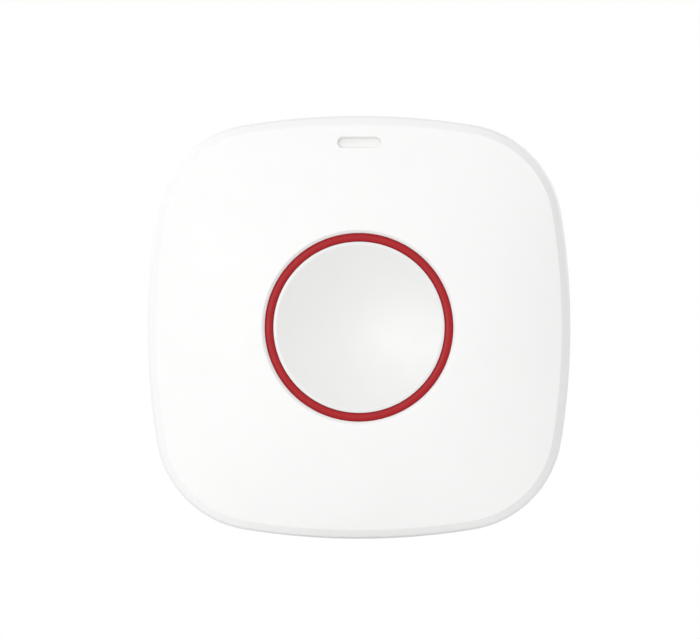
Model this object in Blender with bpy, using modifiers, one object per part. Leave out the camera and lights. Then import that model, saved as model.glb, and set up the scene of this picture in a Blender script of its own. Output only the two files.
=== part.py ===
"""Wireless panic button on a wall bracket, in metres with +Z up.

The front faces -Y, and the bracket's back lies in the plane y = 0 with its middle at the origin.
The pieces are drawn on a bench frame: x runs to the right, y up the wall, and z is the height
above the wall. The empty named bench stands that frame upright.
"""

import math

import bmesh
import bpy
from mathutils import Matrix, Vector

MM = 0.001

# Steps of round shapes
SIDE_STEPS = 8
CORNER_STEPS = 8
FACE_STEPS = 8
INNER_FACE_STEPS = 3
DISH_STEPS = 6
BIG_ROUND_STEPS = 56
SMALL_ROUND_STEPS = 16
SPRING_TURN_STEPS = 12
ANTENNA_TURN_STEPS = 8
WIRE_BEVEL_RESOLUTION = 1
SHEET_CORNER_STEPS = 3

# Gaps that the pieces keep
SEAT_GAP = 0.3 * MM
SLIDE_GAP = 0.4 * MM
PRESS_GAP = 0.35 * MM
THREAD_GAP = 0.2 * MM
CUTTER_OVERRUN = 1.0 * MM
MERGE_DISTANCE = 0.001 * MM

# Case outline: four bowed sides joined by four corner arcs
CASE_WIDTH = 80.0 * MM
SIDE_RADIUS = 134.0 * MM
CORNER_RADIUS = 20.0 * MM

# Front cover
COVER_WALL = 2.0 * MM
WALL_DRAFT = 0.35 * MM
BAND_WIDTH = 1.65 * MM
BAND_HEIGHT = 1.55 * MM
FACE_DROP = 5.0 * MM
CROWN_POWER = 3.0
INNER_CHAMFER = 0.3 * MM
LIP_CHAMFER = 0.45 * MM
COLLAR_WALL = 1.3 * MM

# Rear cover
REAR_WALL = 1.6 * MM
REAR_LIFT = 0.6 * MM
REAR_BAND_HEIGHT = 4.1 * MM
REAR_BAND_INSET = 0.5 * MM
REAR_EDGE_CHAMFER = 0.4 * MM
TONGUE_HEIGHT = 1.9 * MM
TONGUE_WALL = 1.1 * MM

# Wall bracket
BRACKET_THICKNESS = 2.0 * MM
BRACKET_HEIGHT = 50.0 * MM
BRACKET_BORDER = 2.0 * MM
BRACKET_CORNER = 4.0 * MM
UNIT_TRAVEL = 6.0 * MM
HOOK_HEAD_WIDTH = 5.0 * MM
HOOK_NECK_WIDTH = 2.2 * MM
HOOK_HEIGHT = 4.0 * MM
HOOK_HEAD_THICKNESS = 1.2 * MM
HOOK_HEIGHT_SHARES = (0.68, -0.40)
WALL_SCREW_RADIUS = 1.9 * MM
WALL_SCREW_SINK = 1.2 * MM
WALL_SLOT_LENGTH = 8.0 * MM
WALL_SCREW_HEIGHT_SHARE = 0.66
WALL_SLOT_PLACE_SHARES = (0.44, -0.50)

# Coin cell, its holder and contacts
CELL_RADIUS = 12.25 * MM
CELL_THICKNESS = 5.0 * MM
CELL_STEP = 0.4 * MM
CELL_EDGE = 1.3 * MM
HOLDER_WALL = 1.2 * MM
CONTACT_SPACE = 1.1 * MM
CONTACT_SHEET = 0.3 * MM
CONTACT_WIDTH = 4.0 * MM
CONTACT_FOOT = 2.2 * MM
LEAF_LENGTH = 12.0 * MM

# Battery door
DOOR_RIM_WALL = 0.9 * MM
DOOR_LUG_REACH = 2.0 * MM
DOOR_LUG_WIDTH = 5.0 * MM
DOOR_LUG_THICKNESS = 0.8 * MM
DOOR_RIM_RISE = 0.2 * MM
DOOR_TURN = math.radians(35.0)
COIN_SLOT_LENGTH = 14.0 * MM
COIN_SLOT_WIDTH = 2.4 * MM
COIN_SLOT_DEPTH = 0.8 * MM

# Circuit board and its screws
BOARD_THICKNESS = 1.2 * MM
BOARD_INSET = 3.0 * MM
BOARD_POST_RADIUS = 2.5 * MM
BOARD_POST_SPACING = 36.0 * MM
BOARD_LOWER_POST_INSET = 9.0 * MM
BOARD_SCREW_RADIUS = 1.0 * MM
BOARD_SCREW_LENGTH = 5.0 * MM
BOARD_SCREW_HEAD_RADIUS = 2.0 * MM
BOARD_SCREW_HEAD_HEIGHT = 1.3 * MM

# Case screws
CASE_SCREW_SPACING = 48.0 * MM
CASE_SCREW_RADIUS = 1.2 * MM
CASE_SCREW_LENGTH = 9.0 * MM
CASE_SCREW_HEAD_RADIUS = 2.3 * MM
CASE_SCREW_HEAD_HEIGHT = 1.5 * MM
CASE_SCREW_WELL_DEPTH = 2.2 * MM
CASE_BOSS_RADIUS = 3.5 * MM
CASE_POST_RADIUS = 3.2 * MM
RECESS_WIDTH_SHARE = 0.30
RECESS_LENGTH_SHARE = 1.20
RECESS_DEPTH_SHARE = 0.60

# Push switch under the button
SWITCH_SIDE = 6.0 * MM
SWITCH_HEIGHT = 3.1 * MM
SWITCH_FLOOR = 0.7 * MM
SWITCH_EDGE = 0.3 * MM
STEM_RADIUS = 1.75 * MM
BUTTON_TRAVEL = 1.0 * MM

# Return spring and its seat
SPRING_WIRE_RADIUS = 0.25 * MM
SPRING_TURNS = 3.0
SEAT_THICKNESS = 0.6 * MM
SEAT_COLLAR_HEIGHT = 0.8 * MM
SEAT_COLLAR_WALL = 0.6 * MM

# Button: carrier, red ring and dished cap
BUTTON_RADIUS = 17.65 * MM
RING_WIDTH = 1.35 * MM
RING_HEIGHT = 2.2 * MM
RING_EDGE = 0.2 * MM
RING_RECESS = 0.4 * MM
CARRIER_PLATE = 1.0 * MM
CARRIER_FLANGE = 1.1 * MM
CAP_RING_GAP = 0.2 * MM
CAP_RIM = 0.45 * MM
CAP_RIM_FALL = 0.3 * MM
CAP_THICKNESS = 1.2 * MM
CAP_SKIRT_DEPTH = 0.6 * MM
CAP_SKIRT_WALL = 1.2 * MM
DISH_DEPTH = 1.9 * MM

# Status light
WINDOW_LENGTH = 8.3 * MM
WINDOW_WIDTH = 2.2 * MM
WINDOW_INSET = 5.0 * MM
WINDOW_GAP = 0.15 * MM
WINDOW_RECESS = 0.45 * MM
PIPE_FLANGE = 0.7 * MM
PIPE_FLANGE_THICKNESS = 0.8 * MM
LED_LENGTH = 3.5 * MM
LED_WIDTH = 2.8 * MM
LED_HEIGHT = 1.9 * MM
LED_EDGE = 0.4 * MM

# Tamper switch, plunger and spring
PLUNGER_TIP_RADIUS = 1.3 * MM
PLUNGER_STEM_RADIUS = 1.0 * MM
PLUNGER_FLANGE_RADIUS = 4.0 * MM
PLUNGER_FLANGE_THICKNESS = 0.6 * MM
PLUNGER_TRAVEL = 1.2 * MM
FLOOR_WEB = 1.3 * MM
TAMPER_SPRING_RADIUS = 2.0 * MM
TAMPER_WIRE_RADIUS = 0.2 * MM
TAMPER_SPRING_TURNS = 3.0
TAMPER_SWITCH_WIDTH = 4.0 * MM
TAMPER_SWITCH_LENGTH = 6.0 * MM
TAMPER_NIB_RADIUS = 0.5 * MM
TAMPER_NIB_HEIGHT = 0.5 * MM

# Parts on the board
ANTENNA_RADIUS = 1.9 * MM
ANTENNA_WIRE_RADIUS = 0.4 * MM
ANTENNA_TURNS = 7.0
ANTENNA_LENGTH = 15.0 * MM
ANTENNA_EDGE = 6.5 * MM
SHIELD_WIDTH = 14.0 * MM
SHIELD_LENGTH = 16.0 * MM
SHIELD_HEIGHT = 2.2 * MM
SHIELD_SHEET = 0.3 * MM
SHIELD_CORNER = 0.8 * MM
SHIELD_PLACE_SHARES = (-0.51, 0.05)
CHIP_SIDE = 6.0 * MM
CHIP_HEIGHT = 0.9 * MM
CHIP_EDGE = 0.15 * MM
CAPACITOR_RADIUS = 2.6 * MM
CAPACITOR_HEIGHT = 5.2 * MM
CAPACITOR_GROOVE = 0.3 * MM
CAPACITOR_GROOVE_RISE = 0.9 * MM
CAPACITOR_EDGE = 0.4 * MM
CAPACITOR_PLACE_SHARES = (0.755, -0.694)
CRYSTAL_LENGTH = 10.5 * MM
CRYSTAL_WIDTH = 4.0 * MM
CRYSTAL_HEIGHT = 3.2 * MM
CRYSTAL_RIM = 0.4 * MM
CRYSTAL_RIM_THICKNESS = 0.5 * MM
CRYSTAL_PLACE_SHARES = (0.62, 0.22)

# Levels above the wall, from the bracket up to the lip of the button's hole
FLOOR_LOW = BRACKET_THICKNESS + SLIDE_GAP
FLOOR_HIGH = FLOOR_LOW + REAR_WALL
CELL_LOW = FLOOR_HIGH + SEAT_GAP
CELL_HIGH = CELL_LOW + CELL_THICKNESS
BOARD_LOW = CELL_HIGH + CONTACT_SPACE
BOARD_HIGH = BOARD_LOW + BOARD_THICKNESS
ON_BOARD = BOARD_HIGH + SEAT_GAP
UNDER_BOARD = BOARD_LOW - SEAT_GAP
SWITCH_HIGH = ON_BOARD + SWITCH_HEIGHT
STEM_HIGH = SWITCH_HIGH + BUTTON_TRAVEL + SEAT_GAP
CARRIER_LOW = STEM_HIGH + SEAT_GAP
CARRIER_HIGH = CARRIER_LOW + CARRIER_PLATE
COLLAR_LOW = CARRIER_HIGH + SEAT_GAP
CAP_LOW = CARRIER_HIGH + SEAT_GAP
CAP_UNDERSIDE = CAP_LOW + CAP_SKIRT_DEPTH
DISH_LEVEL = CAP_UNDERSIDE + CAP_THICKNESS
CAP_HIGH = DISH_LEVEL + DISH_DEPTH
LIP_LEVEL = CAP_HIGH + RING_RECESS
FACE_EDGE_LEVEL = LIP_LEVEL - FACE_DROP
BAND_FOOT_LEVEL = FACE_EDGE_LEVEL - BAND_HEIGHT
RING_LOW = CAP_HIGH - RING_HEIGHT
SHOULDER_LEVEL = REAR_LIFT + REAR_BAND_HEIGHT
PARTING_LEVEL = SHOULDER_LEVEL + SEAT_GAP
TONGUE_LEVEL = SHOULDER_LEVEL + TONGUE_HEIGHT

# Places across the wall that follow from the sizes above
HALF_WIDTH = CASE_WIDTH / 2
SIDE_OFFSET = SIDE_RADIUS - HALF_WIDTH
CENTRES_APART = SIDE_RADIUS - CORNER_RADIUS
CORNER_CENTRE = (math.sqrt(2 * CENTRES_APART**2 - SIDE_OFFSET**2) - SIDE_OFFSET) / 2
SIDE_SWEEP = math.asin(CORNER_CENTRE / CENTRES_APART)
EDGE_REACH = HALF_WIDTH - BAND_WIDTH
HOLE_RADIUS = BUTTON_RADIUS + PRESS_GAP
LIP_RADIUS = HOLE_RADIUS + LIP_CHAMFER
LIP_SHARE = LIP_RADIUS / EDGE_REACH
DOOR_RADIUS = CELL_RADIUS + SEAT_GAP + DOOR_RIM_WALL
DOOR_HOLE_RADIUS = DOOR_RADIUS + SEAT_GAP
LUG_REACH = DOOR_RADIUS + DOOR_LUG_REACH
NOTCH_REACH = LUG_REACH + SEAT_GAP
HOLDER_RADIUS = CELL_RADIUS + SEAT_GAP + HOLDER_WALL
LUG_HIGH = CELL_LOW + DOOR_LUG_THICKNESS
DOOR_RIM_HIGH = LUG_HIGH + DOOR_RIM_RISE
HOLDER_LOW = DOOR_RIM_HIGH + SEAT_GAP
BRACKET_HALF_HEIGHT = BRACKET_HEIGHT / 2
HOOK_X = NOTCH_REACH + HOOK_HEAD_WIDTH / 2
BRACKET_HALF_WIDTH = HOOK_X + HOOK_HEAD_WIDTH / 2 + BRACKET_BORDER
POCKET_HALF_WIDTH = BRACKET_HALF_WIDTH + SLIDE_GAP
POCKET_TOP = BRACKET_HALF_HEIGHT + SLIDE_GAP
POCKET_BOTTOM = -BRACKET_HALF_HEIGHT - UNIT_TRAVEL - SLIDE_GAP
PLUNGER_HOLE_RADIUS = PLUNGER_TIP_RADIUS + SLIDE_GAP
PLUNGER_Y = -(NOTCH_REACH + FLOOR_WEB + PLUNGER_HOLE_RADIUS)
PLUNGER_FLANGE_LOW = FLOOR_HIGH + PLUNGER_TRAVEL + SEAT_GAP
PLUNGER_FLANGE_HIGH = PLUNGER_FLANGE_LOW + PLUNGER_FLANGE_THICKNESS
CASE_SCREW_X = POCKET_HALF_WIDTH + REAR_WALL / 2 + CASE_BOSS_RADIUS
CASE_SCREW_SEAT = REAR_LIFT + CASE_SCREW_WELL_DEPTH - SEAT_GAP
BOARD_UPPER_POST_Y = POCKET_TOP + REAR_WALL / 2 + BOARD_POST_RADIUS
BOARD_REACH = HALF_WIDTH - BOARD_INSET
WINDOW_PLACE = (0, HALF_WIDTH - WINDOW_INSET)
SEAT_INNER_RADIUS = SWITCH_SIDE / math.sqrt(2) + SEAT_GAP
SEAT_COLLAR_RADIUS = SEAT_INNER_RADIUS + SEAT_COLLAR_WALL
SPRING_RADIUS = SEAT_COLLAR_RADIUS + SEAT_GAP + SPRING_WIRE_RADIUS
SEAT_RADIUS = SPRING_RADIUS + SPRING_WIRE_RADIUS + SEAT_COLLAR_WALL
SEAT_HIGH = ON_BOARD + SEAT_THICKNESS
CAP_RADIUS = BUTTON_RADIUS - RING_WIDTH - CAP_RING_GAP
HOOK_HEAD_LOW = FLOOR_HIGH + SEAT_GAP
CASE_SCREW_PLACES = [
    (side * CASE_SCREW_X, end * CASE_SCREW_SPACING / 2) for end in (1, -1) for side in (-1, 1)
]
BOARD_SCREW_PLACES = [
    (-BOARD_POST_SPACING / 2, BOARD_UPPER_POST_Y),
    (BOARD_POST_SPACING / 2, BOARD_UPPER_POST_Y),
    (0, BOARD_LOWER_POST_INSET - HALF_WIDTH),
]
HOOK_PLACES = [
    (side * HOOK_X, share * BRACKET_HALF_HEIGHT) for share in HOOK_HEIGHT_SHARES for side in (-1, 1)
]

SHARP_ANGLE = math.radians(35.0)
ROUND_PROFILE_SHARE = 0.5

# Name: colour, roughness, metallic
FINISHES = {
    "case_white": ((0.86, 0.86, 0.85), 0.36, 0.0),
    "cap_white": ((0.83, 0.83, 0.82), 0.40, 0.0),
    "ring_red": ((0.42, 0.028, 0.036), 0.30, 0.0),
    "frosted_lens": ((0.80, 0.80, 0.79), 0.45, 0.0),
    "carrier_grey": ((0.62, 0.62, 0.61), 0.50, 0.0),
    "black_plastic": ((0.03, 0.03, 0.03), 0.50, 0.0),
    "board_green": ((0.02, 0.16, 0.07), 0.40, 0.0),
    "screw_steel": ((0.55, 0.55, 0.56), 0.35, 1.0),
    "spring_steel": ((0.48, 0.48, 0.50), 0.30, 1.0),
    "cell_steel": ((0.66, 0.66, 0.67), 0.25, 1.0),
    "contact_nickel": ((0.70, 0.66, 0.58), 0.28, 1.0),
    "antenna_brass": ((0.72, 0.48, 0.20), 0.30, 1.0),
    "capacitor_aluminium": ((0.75, 0.76, 0.77), 0.32, 1.0),
}


def clear_scene():
    for item in list(bpy.data.objects):
        bpy.data.objects.remove(item, do_unlink=True)


def new_collection(name):
    collection = bpy.data.collections.new(name)
    bpy.context.scene.collection.children.link(collection)
    return collection


def new_material(name, colour, roughness, metallic):
    material = bpy.data.materials.new(name)
    material.use_nodes = True
    shader = material.node_tree.nodes["Principled BSDF"]
    shader.inputs["Base Color"].default_value = (*colour, 1.0)
    shader.inputs["Roughness"].default_value = roughness
    shader.inputs["Metallic"].default_value = metallic
    return material


def new_frame(name, parent=None, place=(0, 0, 0)):
    """An empty that carries the pieces of one moving body, on that body's axis."""
    frame = bpy.data.objects.new(name, None)
    frame.parent = parent
    frame.location = place
    PIECES.objects.link(frame)
    return frame


def dress(piece, frame, finish):
    """Makes an object a piece of the product, in its frame and with its material."""
    piece.parent = frame
    piece.data.materials.clear()
    piece.data.materials.append(MATERIALS[finish])
    PIECES.objects.link(piece)
    return piece


def shade(piece):
    """Smooth round faces and flat flat ones, worked out after the piece's other modifiers."""
    piece.data.shade_smooth()
    piece.data.set_sharp_from_angle(angle=SHARP_ANGLE)
    piece.modifiers.new("shading", "WEIGHTED_NORMAL")


def combine(piece, tool, operation):
    """Joins a tool to a piece, or cuts it out. Both stand in the same frame."""
    tool.parent = piece.parent
    tool.hide_render = True
    tool.display_type = "WIRE"
    CUTTERS.objects.link(tool)
    modifier = piece.modifiers.new(tool.name, "BOOLEAN")
    modifier.operation = operation
    modifier.solver = "EXACT"
    modifier.object = tool


def join(piece, *tools):
    for tool in tools:
        combine(piece, tool, "UNION")


def cut(piece, *tools):
    for tool in tools:
        combine(piece, tool, "DIFFERENCE")


def round_edges(piece, width, segments=1):
    modifier = piece.modifiers.new("edges", "BEVEL")
    modifier.width = width
    modifier.segments = segments
    modifier.limit_method = "ANGLE"


def mesh_object(name, shape):
    """An object from a bmesh, which it frees."""
    bmesh.ops.recalc_face_normals(shape, faces=shape.faces)
    mesh = bpy.data.meshes.new(name)
    shape.to_mesh(mesh)
    shape.free()
    return bpy.data.objects.new(name, mesh)


def bars(name, places, radius, low, high, steps=SMALL_ROUND_STEPS):
    """Upright round bars of one size in one mesh."""
    shape = bmesh.new()
    for x, y in places:
        bmesh.ops.create_cone(
            shape,
            cap_ends=True,
            segments=steps,
            radius1=radius,
            radius2=radius,
            depth=high - low,
            matrix=Matrix.Translation((x, y, (low + high) / 2)),
        )
    return mesh_object(name, shape)


def blocks(name, places, width, height, low, high, turn=0):
    """Upright blocks of one size in one mesh, turned together about the z axis."""
    shape = bmesh.new()
    for x, y in places:
        place = Matrix.Translation((x, y, (low + high) / 2))
        size = Matrix.Diagonal((width, height, high - low, 1))
        bmesh.ops.create_cube(shape, size=1, matrix=Matrix.Rotation(turn, 4, "Z") @ place @ size)
    return mesh_object(name, shape)


def filled_curve(name, loops, thickness):
    """A flat outline with holes, extruded to a thickness about z = 0 and made a mesh."""
    curve = bpy.data.curves.new(name, "CURVE")
    curve.dimensions = "2D"
    curve.fill_mode = "BOTH"
    curve.extrude = thickness / 2
    for loop in loops:
        spline = curve.splines.new("POLY")
        spline.points.add(len(loop) - 1)
        for point, (x, y) in zip(spline.points, loop):
            point.co = (x, y, 0, 1)
        spline.use_cyclic_u = True
    draft = bpy.data.objects.new(name, curve)
    CUTTERS.objects.link(draft)
    mesh = bpy.data.meshes.new_from_object(draft.evaluated_get(bpy.context.evaluated_depsgraph_get()))
    bpy.data.objects.remove(draft)
    shape = bmesh.new()
    shape.from_mesh(mesh)
    bpy.data.meshes.remove(mesh)
    bmesh.ops.remove_doubles(shape, verts=shape.verts, dist=MERGE_DISTANCE)
    return shape


def plate(name, loops, low, high):
    """A flat outline with holes, extruded from one level to another."""
    shape = filled_curve(name, loops, high - low)
    bmesh.ops.translate(shape, verts=shape.verts, vec=(0, 0, (low + high) / 2))
    return mesh_object(name, shape)


def side_cut(name, loop, width, turn=0, place=(0, 0)):
    """An outline drawn in x and z, extruded across y, then turned about the z axis and placed."""
    shape = filled_curve(name, [loop], width)
    stand = Matrix.Translation((*place, 0)) @ Matrix.Rotation(turn, 4, "Z")
    bmesh.ops.transform(shape, verts=shape.verts, matrix=stand @ Matrix.Rotation(math.pi / 2, 4, "X"))
    return mesh_object(name, shape)


def turned(name, profile, closed=False, steps=BIG_ROUND_STEPS):
    """A turned piece. Its profile of radius and level runs out from the axis and down its outer side."""
    shape = bmesh.new()
    points = [shape.verts.new((radius, 0, level)) for radius, level in profile]
    for first, second in zip(points, points[1:]):
        shape.edges.new((first, second))
    if closed:
        shape.edges.new((points[-1], points[0]))
    mesh = bpy.data.meshes.new(name)
    shape.to_mesh(mesh)
    shape.free()
    piece = bpy.data.objects.new(name, mesh)
    modifier = piece.modifiers.new("turn", "SCREW")
    modifier.steps = steps
    modifier.render_steps = steps
    modifier.use_merge_vertices = True
    modifier.merge_threshold = MERGE_DISTANCE
    return piece


def loft(name, rings, hollow):
    """Rings of points joined in turn. A hollow loft returns to its first ring, any other is capped."""
    shape = bmesh.new()
    rows = [[shape.verts.new(point) for point in ring] for ring in rings]
    pairs = list(zip(rows, rows[1:]))
    if hollow:
        pairs.append((rows[-1], rows[0]))
    else:
        shape.faces.new(rows[0])
        shape.faces.new(rows[-1])
    for low, high in pairs:
        for index, point in enumerate(low):
            last = index - 1
            shape.faces.new((low[last], point, high[index], high[last]))
    return mesh_object(name, shape)


def baked_mesh(piece):
    """The piece's mesh with its modifiers applied, for copies to share. The piece is removed."""
    mesh = bpy.data.meshes.new_from_object(piece.evaluated_get(bpy.context.evaluated_depsgraph_get()))
    bpy.data.objects.remove(piece)
    return mesh


def least_gap(points, wire_radius, turn_steps):
    """The least space between one curl's wire and the next, measured between its points."""
    apart = []
    for index, point in enumerate(points):
        for other in points[index + turn_steps // 2 :]:
            apart.append((point - other).length)
    return min(apart) - 2 * wire_radius


def coil(name, radius, wire_radius, turns, length, turn_steps=SPRING_TURN_STEPS):
    """A wire wound about the z axis, from z = 0 to its length."""
    wound = length - 2 * wire_radius
    count = round(turns * turn_steps)
    points = []
    for index in range(count + 1):
        turn = 2 * math.pi * turns * index / count
        level = wire_radius + wound * index / count
        points.append(Vector((radius * math.cos(turn), radius * math.sin(turn), level)))
    print(f"{name}: least gap {least_gap(points, wire_radius, turn_steps) / MM:.2f} mm")
    curve = bpy.data.curves.new(name, "CURVE")
    curve.dimensions = "3D"
    curve.bevel_depth = wire_radius
    curve.bevel_resolution = WIRE_BEVEL_RESOLUTION
    curve.use_fill_caps = True
    spline = curve.splines.new("POLY")
    spline.points.add(count)
    for knot, point in zip(spline.points, points):
        knot.co = (*point, 1)
    return bpy.data.objects.new(name, curve)


# Outlines

def case_directions():
    """Polar angles of evenly spaced points along the case outline's arcs."""
    quarter = []
    for step in range(SIDE_STEPS):
        turn = SIDE_SWEEP * (2 * step / SIDE_STEPS - 1)
        x = SIDE_RADIUS * math.cos(turn) - SIDE_OFFSET
        y = SIDE_RADIUS * math.sin(turn)
        quarter.append(math.atan2(y, x))
    for step in range(CORNER_STEPS):
        turn = SIDE_SWEEP + (math.pi / 2 - 2 * SIDE_SWEEP) * step / CORNER_STEPS
        x = CORNER_CENTRE + CORNER_RADIUS * math.cos(turn)
        y = CORNER_CENTRE + CORNER_RADIUS * math.sin(turn)
        quarter.append(math.atan2(y, x))
    return [angle + side * math.pi / 2 for side in range(4) for angle in quarter]


def reach(angle, inset):
    """Distance from the middle to the case outline, drawn in by inset, at a polar angle."""
    folded = angle % (math.pi / 2)
    folded = min(folded, math.pi / 2 - folded)
    side_radius = SIDE_RADIUS - inset
    meeting = math.atan2(
        side_radius * math.sin(SIDE_SWEEP), side_radius * math.cos(SIDE_SWEEP) - SIDE_OFFSET
    )
    if folded < meeting:
        centre = Vector((-SIDE_OFFSET, 0))
        radius = side_radius
    else:
        centre = Vector((CORNER_CENTRE, CORNER_CENTRE))
        radius = CORNER_RADIUS - inset
    along = centre.dot(Vector((math.cos(folded), math.sin(folded))))
    return along + math.sqrt(along**2 - centre.length_squared + radius**2)


def case_outline(inset):
    return [
        (reach(angle, inset) * math.cos(angle), reach(angle, inset) * math.sin(angle))
        for angle in case_directions()
    ]


def case_ring(inset, level):
    return [(x, y, level) for x, y in case_outline(inset)]


def round_ring(radius, level):
    """A circle with its points in the same directions as the case outline's."""
    return [
        (radius * math.cos(angle), radius * math.sin(angle), level) for angle in case_directions()
    ]


def face_level(x, y):
    """Level of the crowned face: highest round the button's hole, falling faster towards the edge."""
    distance = math.hypot(x, y)
    spread = (reach(math.atan2(y, x), BAND_WIDTH) - EDGE_REACH) / (1 - LIP_SHARE)
    straight = EDGE_REACH - spread * LIP_SHARE
    share = 2 * distance / (straight + math.sqrt(straight**2 + 4 * spread * distance))
    fallen = share**CROWN_POWER - LIP_SHARE**CROWN_POWER
    return LIP_LEVEL - FACE_DROP * fallen / (1 - LIP_SHARE**CROWN_POWER)


def face_ring(share, hole_radius, edge_inset, depth):
    """A ring part of the way from a hole to an outline, at a depth under the crowned face."""
    ring = []
    for angle in case_directions():
        distance = hole_radius + share * (reach(angle, edge_inset) - hole_radius)
        x = distance * math.cos(angle)
        y = distance * math.sin(angle)
        ring.append((x, y, face_level(x, y) - depth))
    return ring


def circle(radius, place=(0, 0), steps=SMALL_ROUND_STEPS):
    turns = [2 * math.pi * step / steps for step in range(steps)]
    return [(place[0] + radius * math.cos(t), place[1] + radius * math.sin(t)) for t in turns]


def stadium(length, width, place=(0, 0)):
    """A slot's outline with round ends, along x."""
    steps = SMALL_ROUND_STEPS // 2
    points = []
    for end in range(2):
        middle = (length - width) / 2 * (1 - 2 * end)
        for step in range(steps + 1):
            turn = math.pi * (end - 1 / 2 + step / steps)
            x = place[0] + middle + width / 2 * math.cos(turn)
            points.append((x, place[1] + width / 2 * math.sin(turn)))
    return points


def rounded_rectangle(left, right, bottom, top, radius):
    """A rectangle's outline with round corners."""
    steps = SMALL_ROUND_STEPS // 4
    centres = [
        (right - radius, top - radius),
        (left + radius, top - radius),
        (left + radius, bottom + radius),
        (right - radius, bottom + radius),
    ]
    points = []
    for quarter, (x, y) in enumerate(centres):
        for step in range(steps + 1):
            turn = (quarter + step / steps) * math.pi / 2
            points.append((x + radius * math.cos(turn), y + radius * math.sin(turn)))
    return points


def screw_mesh(name, shank_radius, length, head_radius, head_height):
    """A pan-head screw with a cross recess, its head standing on z = 0 and its shank below."""
    crown = head_height / 2
    screw = turned(
        name,
        [
            (0, head_height),
            (head_radius - crown, head_height),
            (head_radius, head_height - crown),
            (head_radius, 0),
            (shank_radius, 0),
            (shank_radius, -length + shank_radius),
            (shank_radius / 2, -length),
            (0, -length),
        ],
        steps=SMALL_ROUND_STEPS,
    )
    CUTTERS.objects.link(screw)
    long_side = RECESS_LENGTH_SHARE * head_radius
    short_side = RECESS_WIDTH_SHARE * head_radius
    low = head_height * (1 - RECESS_DEPTH_SHARE)
    high = head_height + CUTTER_OVERRUN
    for width, height in ((long_side, short_side), (short_side, long_side)):
        cut(screw, blocks(f"{name}_recess", [(0, 0)], width, height, low, high))
    return baked_mesh(screw)


# Wall bracket

def sink(name, outline, wide_outline):
    """A countersink's cutter, from an outline in the plate to a wider one above it."""
    low = [(x, y, BRACKET_THICKNESS - WALL_SCREW_SINK) for x, y in outline]
    high = [(x, y, BRACKET_THICKNESS + CUTTER_OVERRUN) for x, y in wide_outline]
    return loft(name, [low, high], hollow=False)


def make_wall_bracket():
    """Plate with wall screw holes, four hooks, and the ramp that lets the tamper plunger out."""
    hole = (0, WALL_SCREW_HEIGHT_SHARE * BRACKET_HALF_HEIGHT)
    slot_x = WALL_SLOT_PLACE_SHARES[0] * BRACKET_HALF_WIDTH
    slot_y = WALL_SLOT_PLACE_SHARES[1] * BRACKET_HALF_HEIGHT
    slots = [(-slot_x, slot_y), (slot_x, slot_y)]
    width = 2 * WALL_SCREW_RADIUS
    widening = WALL_SCREW_SINK + CUTTER_OVERRUN
    outline = rounded_rectangle(
        -BRACKET_HALF_WIDTH, BRACKET_HALF_WIDTH, -BRACKET_HALF_HEIGHT, BRACKET_HALF_HEIGHT, BRACKET_CORNER
    )
    loops = [outline, circle(WALL_SCREW_RADIUS, hole)]
    loops += [stadium(WALL_SLOT_LENGTH, width, slot) for slot in slots]
    bracket = dress(plate("wall_bracket", loops, 0, BRACKET_THICKNESS), BENCH, "case_white")
    cut(
        bracket,
        sink("hole_sink", circle(WALL_SCREW_RADIUS, hole), circle(WALL_SCREW_RADIUS + widening, hole)),
    )
    for slot in slots:
        narrow = stadium(WALL_SLOT_LENGTH, width, slot)
        wide = stadium(WALL_SLOT_LENGTH + 2 * widening, width + 2 * widening, slot)
        cut(bracket, sink("slot_sink", narrow, wide))
    neck_low = BRACKET_THICKNESS / 2
    neck_high = HOOK_HEAD_LOW + HOOK_HEAD_THICKNESS / 2
    head_high = HOOK_HEAD_LOW + HOOK_HEAD_THICKNESS
    join(
        bracket,
        blocks("hook_necks", HOOK_PLACES, HOOK_NECK_WIDTH, HOOK_HEIGHT, neck_low, neck_high),
        blocks("hook_heads", HOOK_PLACES, HOOK_HEAD_WIDTH, HOOK_HEIGHT, HOOK_HEAD_LOW, head_high),
    )
    ramp_start = PLUNGER_Y - PLUNGER_TIP_RADIUS
    ramp_end = PLUNGER_Y + UNIT_TRAVEL + PLUNGER_HOLE_RADIUS
    fall = (ramp_end - ramp_start) * PLUNGER_TRAVEL / UNIT_TRAVEL
    above = BRACKET_THICKNESS + CUTTER_OVERRUN
    ramp = [
        (ramp_start, BRACKET_THICKNESS),
        (ramp_end, BRACKET_THICKNESS - fall),
        (ramp_end, above),
        (ramp_start, above),
    ]
    cut(bracket, side_cut("plunger_ramp", ramp, 2 * PLUNGER_HOLE_RADIUS, turn=math.pi / 2))


# Rear cover

def pocket_outline(margin):
    """The bracket's pocket, with room below for the unit to slide up."""
    return rounded_rectangle(
        -POCKET_HALF_WIDTH - margin,
        POCKET_HALF_WIDTH + margin,
        POCKET_BOTTOM - margin,
        POCKET_TOP + margin,
        BRACKET_CORNER + SLIDE_GAP + margin,
    )


def keyhole_cutters():
    """Openings that the hooks enter by, and the narrow slots above that they hold in."""
    entry_middles = [(x, y - UNIT_TRAVEL) for x, y in HOOK_PLACES]
    entry_width = HOOK_HEAD_WIDTH + 2 * SLIDE_GAP
    entry_height = HOOK_HEIGHT + 2 * SLIDE_GAP
    low = FLOOR_LOW - CUTTER_OVERRUN
    high = FLOOR_HIGH + CUTTER_OVERRUN
    slot_height = UNIT_TRAVEL + HOOK_HEIGHT / 2 + SEAT_GAP
    slot_middles = [(x, y - UNIT_TRAVEL + slot_height / 2) for x, y in HOOK_PLACES]
    slot_width = HOOK_NECK_WIDTH + 2 * SLIDE_GAP
    return (
        blocks("keyhole_entries", entry_middles, entry_width, entry_height, low, high),
        blocks("keyhole_slots", slot_middles, slot_width, slot_height, low, high),
    )


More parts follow.
